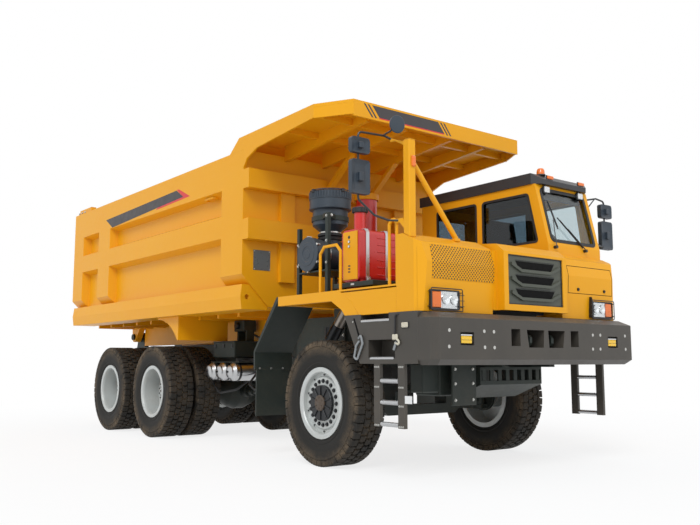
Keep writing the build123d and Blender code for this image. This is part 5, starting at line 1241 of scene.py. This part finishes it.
class TRUCK_OT_mirrors(bpy.types.Operator):
    """Model the mirrors on their yellow post and bent frames"""
    bl_idname = "truck.mirrors"
    bl_label = "Mirrors"

    def execute(self, context):
        rod = context.scene.truck_fitting.rod
        bm = bmesh.new()
        self.post(bm)
        self.right(bm, rod)
        self.left(bm, rod)
        piece = finish_piece("mirror_set", bm, "root", "yellow", "body yellow", "black plastic",
                             "filter blue", "lamp silver", "pale rim", "amber lens")
        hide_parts("mirrors")
        return {"FINISHED"}

    def right(self, bm, rod):
        """The bent frame on the post, its two heads and the round mirror for the front."""
        frame_x = RIGHT_MIRROR_X
        high = RIGHT_HEADS[1][1] + 0.072
        add_bent_rod(bm, [(4.515, -1.700, 3.655), (4.490, -1.800, 3.690),
                          (frame_x, -FRAME_Y, high), (frame_x, -FRAME_Y, 2.960),
                          (4.470, -1.930, 2.800), (4.560, -1.800, 2.745), (4.640, -1.700, 2.742)],
                     rod, 0.045, finish=1)
        self.heads(bm, frame_x, -1, RIGHT_HEADS)
        add_bent_rod(bm, [(4.480, -1.815, 3.690), (4.620, -1.820, 3.712), (4.740, -1.845, 3.770)],
                     rod - 0.002, 0.03, finish=1)
        eye = Vector((4.770, -1.855, 3.745))
        look = Vector((1, -0.12, -0.10)).normalized()
        add_turned(bm, ((-0.030, 0.0), (-0.028, 0.030), (-0.016, 0.075), (-0.004, 0.095),
                        (0.006, 0.097), (0.010, 0.092), (0.008, 0.0)), eye, look, steps=36,
                   finish=2)

    def left(self, bm, rod):
        """The bent frame on the cab with its brackets, its stay and its two heads."""
        for root_z in LEFT_ROOTS_Z:
            add_block(bm, (screen_x(root_z) - 0.075, CAB_Y[1], root_z - 0.022),
                      (screen_x(root_z) - 0.020, CAB_Y[1] + 0.022, root_z + 0.022), 0.004, 1)
        roots = [(screen_x(z) - 0.048, CAB_Y[1] + 0.002, z) for z in LEFT_ROOTS_Z]
        add_bent_rod(bm, [roots[0], (LEFT_MIRROR_X, FRAME_Y, LEFT_ROOTS_Z[0]),
                          (LEFT_MIRROR_X, FRAME_Y, 3.430), (LEFT_MIRROR_X, 1.93, 3.450), roots[1]],
                     rod, 0.045, finish=1)
        add_bent_rod(bm, [(LEFT_MIRROR_X + 0.01, 1.90, 3.447), (4.60, CAB_Y[1] + 0.01, 3.290)],
                     rod - 0.004, 0.03, finish=1)
        self.heads(bm, LEFT_MIRROR_X, 1, LEFT_HEADS)

    def post(self, bm):
        """The square post with its foot, brace and upper and lower brackets."""
        add_plate(bm, [(POST_X[0], POST_Y[0], nose_top(POST_X[0]) - 0.002),
                       (POST_X[1], POST_Y[0], nose_top(POST_X[1]) - 0.002),
                       (POST_X[1], POST_Y[0], POST_TOP_Z), (POST_X[0], POST_Y[0], POST_TOP_Z)],
                  (0, POST_Y[1] - POST_Y[0], 0), bevel=0.010)
        x, y = POST_MIDDLE
        add_block(bm, (x - 0.03, -1.04, nose_top(x) - 0.005), (x + 0.03, -0.96, nose_top(x) + 0.03),
                  0.004)
        add_rod(bm, (x, y + 0.03, POST_TOP_Z - 0.215), (x, -1.0, nose_top(x) + 0.025), 0.030, 20)
        for z_arm, z_foot, reach in ((3.650, 3.545, 4.505), (2.740, 2.630, 4.580)):
            outline = [(reach, z_arm - 0.022), (reach, z_arm + 0.022),
                       (POST_X[0] - 0.02, z_arm + 0.022 if z_arm < 3.5 else POST_TOP_Z),
                       (POST_X[0] + 0.01, z_foot + 0.05), (POST_X[0] + 0.01, z_foot),
                       (reach + 0.07, z_arm - 0.022)]
            add_plate(bm, [(px, POST_Y[0] + 0.012, pz) for px, pz in outline], (0, 0.030, 0),
                      bevel=0.003)
        add_block(bm, (POST_X[0] + 0.005, POST_Y[0] + 0.004, POST_TOP_Z - 0.002),
                  (POST_X[1] - 0.005, POST_Y[1] - 0.004, POST_TOP_Z + 0.006), 0.002)
        add_block(bm, (POST_X[1] - 0.005, -1.712, 3.300), (POST_X[1] + 0.024, -1.652, 3.420), 0.012,
                  5)

    def heads(self, bm, x, side, spans):
        """Rounded housings with a pale rim and the glass facing back."""
        for z_low, z_high in spans:
            corners = upright(x + 0.044, span(side, *HEAD_Y), (z_low, z_high))
            old = set(bm.verts)
            push(bm, [rounded_face(bm, corners, 0.034, segments=4)], (-0.060, 0, 0))
            made = new_verts(bm, old)
            set_finish(faces_of(made), 2)
            front = max((part for part in faces_of(made) if abs(part.normal.x) > 0.9),
                        key=lambda part: part.calc_center_median().x)
            bmesh.ops.inset_region(bm, faces=[front], thickness=0.034, depth=0.012)
            bmesh.ops.inset_region(bm, faces=[front], thickness=0.026, depth=0.006)
            back = min((part for part in faces_of(made) if abs(part.normal.x) > 0.9),
                       key=lambda part: part.calc_center_median().x)
            rim = bmesh.ops.inset_region(bm, faces=[back], thickness=0.012, depth=0.004)["faces"]
            set_finish(rim, 4)
            glass = bmesh.ops.inset_region(bm, faces=[back], thickness=0.004, depth=-0.004)
            set_finish(glass["faces"], 1)
            set_finish([back], 3)
            z_middle = (z_low + z_high) / 2
            clamp = min(0.05, (z_high - z_low) / 5)
            add_block(bm, (x - 0.020, side * FRAME_Y - 0.030, z_middle - clamp),
                      (x + 0.066, side * FRAME_Y + 0.030, z_middle + clamp), 0.006, 2)


TANK_X, TANK_Y, TANK_Z = (3.485, 3.805), (-1.600, -0.900), (2.174, 2.781)
STRAPS_Y, STRAP = (-1.480, -1.180), 0.025    # middles of the straps, and half their width
TANK_RIBS_Y, TANK_RIBS_Z = (-1.330, -0.990), (2.689, 2.607, 2.524, 2.424, 2.342, 2.252)
KNOB_X = 3.628
# Knobs on the side panel: height, and finish of the tip
KNOBS = ((2.693, 4), (2.639, 5), (2.584, 5))
NECK = (3.645, -1.460)
DRUM = (2.840, -1.300)
# Bands of the air cleaner: height of the foot, radius, height
DRUM_BANDS = ((3.290, 0.272, 0.014), (3.165, 0.270, 0.018), (3.398, 0.262, 0.010),
              (3.050, 0.232, 0.010))
CANISTER = (2.777, 2.580)


class TRUCK_OT_tank_fittings(bpy.types.Operator):
    """Add straps, a yellow side panel, ribs, base and cap to the red tank"""
    bl_idname = "truck.tank_fittings"
    bl_label = "Tank fittings"

    def execute(self, context):
        bm = bmesh.new()
        low, top = TANK_Z
        back, front = TANK_X
        for y in STRAPS_Y:
            near, far = y - STRAP, y + STRAP
            add_block(bm, (front + 0.004, near, low - 0.02), (front + 0.009, far, top - 0.03),
                      0.001)
            add_block(bm, (back + 0.03, near, top + 0.004), (front - 0.02, far, top + 0.009),
                      0.001)
            add_block(bm, (back - 0.009, near, low), (back - 0.004, far, top - 0.03), 0.001)
            bent = [(front - 0.022, near, top + 0.009), (front + 0.009, near, top - 0.032),
                    (front + 0.004, near, top - 0.034), (front - 0.024, near, top + 0.003)]
            add_plate(bm, bent, (0, 2 * STRAP, 0))
            add_block(bm, (front + 0.004, near - 0.005, low - 0.01),
                      (front + 0.034, far + 0.005, low + 0.045), 0.004, 1)
            add_bolts(bm, [(front + 0.034, y, low + 0.018)], (1, 0, 0), 0.012, 1)
        for z in TANK_RIBS_Z:
            add_rod(bm, (front - 0.002, TANK_RIBS_Y[0], z), (front - 0.002, TANK_RIBS_Y[1], z),
                    0.0075, 10, 2, bevel=0.002)
        face = TANK_Y[0]
        add_block(bm, (3.510, face - 0.010, 2.190), (3.780, face - 0.001, 2.760), 0.004, 3)
        for z, finish in KNOBS:
            add_rod(bm, (KNOB_X, face - 0.008, z), (KNOB_X, face - 0.016, z), 0.019, 24, 4,
                    bevel=0.003)
            add_rod(bm, (KNOB_X, face - 0.014, z), (KNOB_X, face - 0.018, z), 0.014, 24, finish)
        for z in (2.345, 2.310, 2.275):
            add_block(bm, (3.610, face - 0.0115, z), (3.650, face - 0.009, z + 0.016), 0.0, 4)
        add_block(bm, (3.367, -1.640, 2.098), (4.092, -0.880, 2.156), 0.004, 6)
        add_block(bm, (3.70, -1.646, 2.118), (3.76, -1.638, 2.142), 0.002, 0)
        cap = Vector((*NECK, 2.994))
        add_turned(bm, ((0.0, 0.0), (0.0, 0.080), (0.006, 0.0925), (0.062, 0.0925), (0.069, 0.084),
                        (0.070, 0.045), (0.082, 0.040), (0.084, 0.0)), cap, (0, 0, 1), steps=36,
                   finish=4)
        ring_of(bm, 18, cap, Vector((0, 0, 1)),
                lambda: add_block(bm, cap + Vector((0.090, -0.006, 0.010)),
                                  cap + Vector((0.098, 0.006, 0.058)), 0.002, 4))
        finish_piece("tank_fittings", bm, "root", "tank_silver", "bare steel", "zinc", "tank red",
                     "body yellow", "black plastic", "marking white", "chassis green")
        return {"FINISHED"}


class TRUCK_OT_filter_fittings(bpy.types.Operator):
    """Add bands, clips, hose and dust cap to the air cleaner"""
    bl_idname = "truck.filter_fittings"
    bl_label = "Air cleaner fittings"

    def execute(self, context):
        bm = bmesh.new()
        up = Vector((0, 0, 1))
        base = Vector((*DRUM, 0))
        ring_of(bm, 44, base + up * 3.30, up,
                lambda: add_block(bm, base + Vector((0.258, -0.012, 3.300)),
                                  base + Vector((0.274, 0.012, 3.385)), 0.004))
        ring_of(bm, 4, base + up * 3.38, up,
                lambda: add_block(bm, base + Vector((0.240, -0.020, 3.362)),
                                  base + Vector((0.284, 0.020, 3.412)), 0.006, 1))
        for z, radius, height in DRUM_BANDS:
            add_band(bm, radius - 0.012, radius, height, base + up * z, up, 56)
        for z in (2.905, 2.862):
            add_band(bm, 0.128, 0.140, 0.016, base + up * z, up, 40, 2)
        add_turned(bm, ((0, 0.120), (0.010, 0.152), (0.040, 0.158), (0.050, 0.135), (0.062, 0.160),
                        (0.085, 0.160), (0.095, 0.120), (0, 0.120)), base + up * 2.765, up,
                   steps=40, finish=1)
        centre = Vector((CANISTER[0], -1.600, CANISTER[1]))
        out = Vector((0, -1, 0))
        add_turned(bm, ((0.0, 0.0), (0.0, 0.219), (0.008, 0.221), (0.014, 0.214), (0.016, 0.150),
                        (0.021, 0.145), (0.021, 0.100), (0.015, 0.094), (0.015, 0.060),
                        (0.020, 0.055), (0.021, 0.0)), centre, out, steps=56)
        ring_of(bm, 6, centre, out,
                lambda: add_block(bm, centre + Vector((-0.014, -0.010, 0.205)),
                                  centre + Vector((0.014, 0.050, 0.232)), 0.004, 2))
        add_band(bm, 0.203, 0.212, 0.03, centre - out * 0.18, -out, 48, 2)
        bolts = [(x, -1.5775, z) for x in (2.53, 3.137) for z in (2.45, 2.72, 3.03)
                 if not (x < 3 and z > 3)]
        add_bolts(bm, bolts, (0, -1, 0), 0.013, 2)
        front_bolts = [(3.160, y, 3.04) for y in (-1.52, -1.02)]
        add_bolts(bm, front_bolts, (1, 0, 0), 0.013, 2)
        hose = [(2.56, -1.20, 2.80), (2.42, -1.22, 2.86), (2.40, -1.22, 2.62), (2.50, -1.20, 2.42)]
        add_bent_rod(bm, hose, 0.022, 0.06, sides=14, finish=1)
        finish_piece("filter_fittings", bm, "root", "filter_blue", "filter blue", "black rubber",
                     "zinc")
        return {"FINISHED"}


# Stripes on the tub's side: place along the truck, and height
STRIPE_DARK = ((-3.534, 3.874), (-0.600, 3.945), (-0.360, 3.805), (-1.290, 3.771),
               (-3.220, 3.694))
STRIPE_RED = ((-0.600, 3.958), (-0.510, 3.948), (-0.131, 3.780), (-1.363, 3.742), (-1.290, 3.771),
              (-0.360, 3.805))
FILM = 0.0012            # thickness of a stripe
TUB_Y, TUB_FRONT_X = 1.785, 1.470
CANOPY_FRONT_X = BOX["canopy"][1].x


class TRUCK_OT_markings(bpy.types.Operator):
    """Add the stripes, blank plate, slots drawn as black blocks of painted shade, bolts and hooks of the
    tub and the canopy
    """
    bl_idname = "truck.markings"
    bl_label = "Markings"

    def execute(self, context):
        bm = bmesh.new()
        for _, side in SIDES:
            out = Vector((0, side * FILM, 0))
            face = side * (TUB_Y + 0.0002)
            add_plate(bm, [(x, face, z) for x, z in STRIPE_DARK], out)
            add_plate(bm, [(x, face, z) for x, z in STRIPE_RED], out, finish=1)
            # The slots: black blocks on the side, painted shade of their openings
            for x in (-4.70, -4.54, -4.38, -4.235):
                side_block(bm, side, (x - 0.012, x + 0.012), (1.755, 1.7655), (1.968, 2.040), 0.0, 2)
            lugs = [(x, side * 1.7452, 4.215) for x in (-5.07, -4.92, -4.77)]
            add_bolts(bm, lugs, (0, side, 0), 0.018, 4)
        self.canopy(bm)
        self.plate(bm)
        finish_piece("tub_markings", bm, "dump_body", "yellow", "stripe dark", "stripe red",
                     "deep black", "plate grey", "zinc")
        bm = bmesh.new()
        for side in (-1, 1):
            loop = [(x, side * y, z) for x, y, z in
                    ((0.27, 1.640, 3.655), (0.27, 1.735, 3.655), (0.55, 1.735, 3.655),
                     (0.55, 1.640, 3.655))]
            add_bent_rod(bm, loop, 0.020, 0.035, sides=12)
        finish_piece("tub_hooks", bm, "dump_body", "yellow", "body yellow")
        return {"FINISHED"}

    def canopy(self, bm):
        """A dark band with slashes and a red line on the canopy's lip."""
        face = CANOPY_FRONT_X - 0.0004
        lean = 0.115

        def slanted(y_low, y_high, z_low, z_high, finish):
            shift = lean * (z_high - z_low) / 0.14
            corners = [(face, y, z) for y, z in
                       ((y_low, z_low), (y_high, z_low), (y_high - shift, z_high),
                        (y_low - shift, z_high))]
            add_plate(bm, corners, (FILM, 0, 0), finish)

        slanted(-1.10, 0.03, 4.247, 4.387, 0)
        slanted(-1.10, 0.03, 4.233, 4.247, 1)
        for start in (-1.165, -1.225, 0.075, 0.135):
            slanted(start, start + 0.030, 4.233, 4.387, 0)

    def plate(self, bm):
        """The blank plate riveted on the front wall."""
        add_block(bm, (TUB_FRONT_X, -1.605, 2.503), (TUB_FRONT_X + 0.004, -1.330, 2.785), 0.001, 3)
        rivets = [(TUB_FRONT_X + 0.004, y, z) for y in (-1.590, -1.345) for z in (2.518, 2.770)]
        add_bolts(bm, rivets, (1, 0, 0), 0.006, 4)


AIR_TANK_Z = 1.085       # axles of the air tanks
# Hoses beside the frame
HOSES = (((-0.95, -0.60, 1.20), (-0.95, -0.90, 0.95), (-0.65, -0.92, 0.74), (-0.30, -0.80, 0.80),
          (-0.20, -0.56, 1.00)),
         ((0.10, -0.60, 1.15), (0.20, -0.88, 0.90), (0.45, -0.90, 0.80), (0.62, -0.60, 1.00)),
         ((-0.10, -0.60, 1.66), (0.20, -0.72, 1.62), (0.75, -0.70, 1.45), (0.95, -0.56, 1.30)))
# Outline of a skirt between a deck and its nose box: place along the truck, and height
SKIRT = ((3.62, 2.012), (3.705, 1.970), (3.80, 1.915), (3.89, 1.850), (3.965, 1.757),
         (4.604, 1.757), (4.604, 2.030), (3.62, 2.030))
# Plates beside the engine and under the bumper: low corner, high corner, bevel
COVERS = (((2.05, -0.640, 1.20), (4.02, -0.605, 2.040), 0.006),
          ((1.12, -0.625, 1.28), (2.06, -0.600, 1.865), 0.006),
          ((4.10, -1.020, 0.86), (4.50, -0.720, 1.225), 0.015),
          ((4.30, -1.280, 0.90), (4.50, -1.020, 1.225), 0.015),
          ((4.615, -0.960, 0.76), (4.645, -0.580, 1.225), 0.006))
COVER_RIBS_X = (2.30, 2.75, 3.20, 3.65)
HOIST_X = 1.99
# Section of the hoist tube's collar: height, and radius
COLLAR = ((3.585, 0.168), (3.585, 0.176), (3.592, 0.181), (3.672, 0.181), (3.679, 0.176),
          (3.679, 0.168), (3.585, 0.168))


class TRUCK_OT_chassis_fittings(bpy.types.Operator):
    """Add valve box, pipe, tank bands, hoses, covers, deck skirts and the hoist's collar"""
    bl_idname = "truck.chassis_fittings"
    bl_label = "Chassis fittings"

    def execute(self, context):
        self.under_tub()
        self.engine_covers()
        bm = bmesh.new()
        for _, side in SIDES:
            add_plate(bm, [(x, side * 1.720, z) for x, z in SKIRT], (0, side * 0.019, 0), 0, 0.003)
        finish_piece("deck_skirts", bm, "root", "yellow", "body yellow")
        bm = bmesh.new()
        add_turned(bm, COLLAR, (HOIST_X, 0, 0), (0, 0, 1))
        finish_piece("hoist_collar", bm, "hoist_tube", "yellow", "body yellow")
        return {"FINISHED"}

    def under_tub(self):
        """The valve box, the air tanks' ends and bands, the pipe and the hoses."""
        bm = bmesh.new()
        add_block(bm, (-0.73, -1.00, 1.307), (-0.05, -0.53, 1.554), 0.012, 1)
        add_block(bm, (-0.74, -1.01, 1.548), (-0.04, -0.52, 1.566), 0.004, 1)
        for x in (-0.66, -0.39, -0.12):
            add_block(bm, (x - 0.03, -1.012, 1.46), (x + 0.03, -1.0, 1.52), 0.003, 2)
        for x in (-0.69, -0.36, -0.03):
            add_turned(bm, ((0.0, 0.0), (0.0, 0.100), (0.020, 0.097), (0.038, 0.075),
                            (0.047, 0.035), (0.048, 0.0)), (x, -1.0785, AIR_TANK_Z), (0, -1, 0),
                       steps=40, finish=0)
            add_rod(bm, (x, -1.115, AIR_TANK_Z), (x, -1.146, AIR_TANK_Z), 0.016, 6, 2)
            for y in (-0.98, -0.66):
                add_band(bm, 0.1395, 0.145, 0.035, (x, y, AIR_TANK_Z), (0, 1, 0), 40, 2)
        add_block(bm, (-0.80, -1.00, 1.225), (0.08, -0.50, 1.245), 0.003, 1)
        add_block(bm, (-0.42, -0.80, 1.72), (-0.12, -0.56, 1.90), 0.012, 1)
        add_rod(bm, (-0.27, -0.80, 1.81), (-0.27, -0.86, 1.81), 0.05, 20, 2, bevel=0.006)
        for x in (-0.40, -0.14):
            add_block(bm, (x - 0.02, -0.74, 1.50), (x + 0.02, -0.60, 1.74), 0.003, 1)
        pipe = [(2.80, -0.98, 1.935), (2.46, -1.00, 1.52), (2.36, -1.00, 1.40)]
        add_rod(bm, pipe[0], pipe[1], 0.074, 28, 3)
        add_rod(bm, (2.62, -0.99, 1.715), pipe[1], 0.081, 28, 2, bevel=0.004)
        add_rod(bm, pipe[1], pipe[2], 0.060, 24, 2)
        for hose in HOSES:
            add_bent_rod(bm, hose, 0.018, 0.09, sides=12, finish=4)
        finish_piece("chassis_fittings", bm, "root", "chassis_green", "bare steel",
                     "chassis green", "dark steel", "exhaust steel", "black rubber")

    def engine_covers(self):
        """Plates beside the engine and under the bumper."""
        bm = bmesh.new()
        for low, high, bevel in COVERS:
            add_block(bm, low, high, bevel)
        add_bolts(bm, [(4.645, y, z) for y in (-0.92, -0.64) for z in (0.82, 1.0, 1.16)],
                  (1, 0, 0), 0.013, 1)
        for x in COVER_RIBS_X:
            add_block(bm, (x - 0.035, -0.665, 1.25), (x + 0.035, -0.635, 2.02), 0.006, 0)
            add_bolts(bm, [(x, -0.665, z) for z in (1.36, 1.60, 1.88)], (0, -1, 0), 0.014, 1)
        finish_piece("engine_side_cover", bm, "root", "chassis_green", "chassis green", "zinc")


# Soft suns: name, strength, spread and turn in degrees
SUNS = (("key", 1.55, 25, (48, 0, 38)), ("fill", 0.35, 60, (62, 0, 110)))
# The floor turns from this share of plain white near the truck to all white further out
FLOOR_NEAR, FLOOR_FAR, FLOOR_WHITE = 5.0, 13.0, 0.78


class TRUCK_OT_stage(bpy.types.Operator):
    """Make the pale floor, the soft light and the camera of the photograph"""
    bl_idname = "truck.stage"
    bl_label = "Stage"

    def execute(self, context):
        scene = context.scene
        bm = bmesh.new()
        bmesh.ops.create_grid(bm, x_segments=1, y_segments=1, size=400)
        data = bpy.data.meshes.new("floor")
        bm.to_mesh(data)
        bm.free()
        floor = bpy.data.objects.new("floor", data)
        scene.collection.objects.link(floor)
        self.floor_material()
        data.materials.append(MATERIALS["floor"])

        world = bpy.data.worlds.new("soft sky")
        world.use_nodes = True
        scene.world = world
        tree = world.node_tree
        surface = tree.nodes["Background"]
        surface.inputs["Color"].default_value = (0.93, 0.96, 1.0, 1)
        surface.inputs["Strength"].default_value = 0.62
        plain = add_node(tree, "ShaderNodeBackground", Color=(1, 1, 1, 1), Strength=1.0)
        mix_shaders(tree, self.seen_directly(tree), surface.outputs[0], plain.outputs[0],
                    "World Output")

        for name, strength, spread, turn in SUNS:
            lamp = bpy.data.lights.new(name, "SUN")
            lamp.energy = strength
            lamp.angle = math.radians(spread)
            light = bpy.data.objects.new(name, lamp)
            light.rotation_euler = [math.radians(value) for value in turn]
            scene.collection.objects.link(light)

        lens = bpy.data.cameras.new("camera")
        lens.lens = 41.19
        lens.sensor_width = 36
        lens.clip_end = 1000
        camera = bpy.data.objects.new("camera", lens)
        camera.location = (10.949, -7.357, 1.246)
        camera.rotation_euler = (math.radians(90 + 7.035), 0, math.radians(51.807))
        scene.collection.objects.link(camera)
        scene.camera = camera
        scene.view_settings.view_transform = "Standard"
        return {"FINISHED"}

    def seen_directly(self, tree):
        """One where the camera, a gloss or a glass looks, and nought for light that bounces."""
        path = add_node(tree, "ShaderNodeLightPath")
        seen = calc(tree, "ADD", path.outputs["Is Camera Ray"], path.outputs["Is Glossy Ray"])
        return calc(tree, "ADD", seen, path.outputs["Is Transmission Ray"], clamp=True)

    def floor_material(self):
        """A pale floor that looks white and still holds a faint shadow near the truck."""
        tree, shader = new_material("floor", Roughness=0.9, Specular_IOR_Level=0.0)
        shader.inputs["Base Color"].default_value = (0.95, 0.95, 0.95, 1)
        glow = add_node(tree, "ShaderNodeEmission", Color=(1, 1, 1, 1), Strength=1.0)
        place = add_node(tree, "ShaderNodeTexCoord").outputs["Object"]
        reach = add_node(tree, "ShaderNodeVectorMath", operation="LENGTH")
        tree.links.new(place, reach.inputs[0])
        fade = add_node(tree, "ShaderNodeMapRange", Value=reach.outputs["Value"])
        fade.inputs["From Min"].default_value = FLOOR_NEAR
        fade.inputs["From Max"].default_value = FLOOR_FAR
        fade.inputs["To Min"].default_value = FLOOR_WHITE
        fade.inputs["To Max"].default_value = 1.0
        share = calc(tree, "MULTIPLY", self.seen_directly(tree), fade.outputs[0])
        mix_shaders(tree, share, shader.outputs[0], glow.outputs[0], "Material Output")


class TRUCK_PT_panel(bpy.types.Panel):
    """Shows the truck's settings and a button for each step"""
    bl_idname = "TRUCK_PT_panel"
    bl_label = "Mining dump truck"
    bl_space_type = "VIEW_3D"
    bl_region_type = "UI"
    bl_category = "Truck"

    def draw(self, context):
        for group in ("truck_paint", "truck_tyre", "truck_fitting"):
            values = getattr(context.scene, group)
            column = self.layout.column(align=True)
            for name in values.__annotations__:
                column.prop(values, name)
        for step in STEPS:
            self.layout.operator(step.bl_idname)


GROUPED = (("truck_paint", TRUCK_PG_paint), ("truck_tyre", TRUCK_PG_tyre),
           ("truck_fitting", TRUCK_PG_fitting))
STEPS = (TRUCK_OT_paints, TRUCK_OT_tyres, TRUCK_OT_wheel_fittings, TRUCK_OT_lamps,
         TRUCK_OT_nose, TRUCK_OT_steps, TRUCK_OT_cab_fittings, TRUCK_OT_mirrors,
         TRUCK_OT_tank_fittings, TRUCK_OT_filter_fittings, TRUCK_OT_markings,
         TRUCK_OT_chassis_fittings, TRUCK_OT_stage)


def register():
    """Adds the property groups, the steps and the panel."""
    for name, group in GROUPED:
        bpy.utils.register_class(group)
        setattr(bpy.types.Scene, name, bpy.props.PointerProperty(type=group))
    for step in (*STEPS, TRUCK_PT_panel):
        bpy.utils.register_class(step)


def unregister():
    """Takes them away again."""
    for step in (TRUCK_PT_panel, *reversed(STEPS)):
        bpy.utils.unregister_class(step)
    for name, group in reversed(GROUPED):
        delattr(bpy.types.Scene, name)
        bpy.utils.unregister_class(group)


def main():
    """Registers everything and runs every step in order."""
    register()
    for step in STEPS:
        area, action = step.bl_idname.split(".")
        getattr(getattr(bpy.ops, area), action)()


if __name__ == "__main__":
    main()
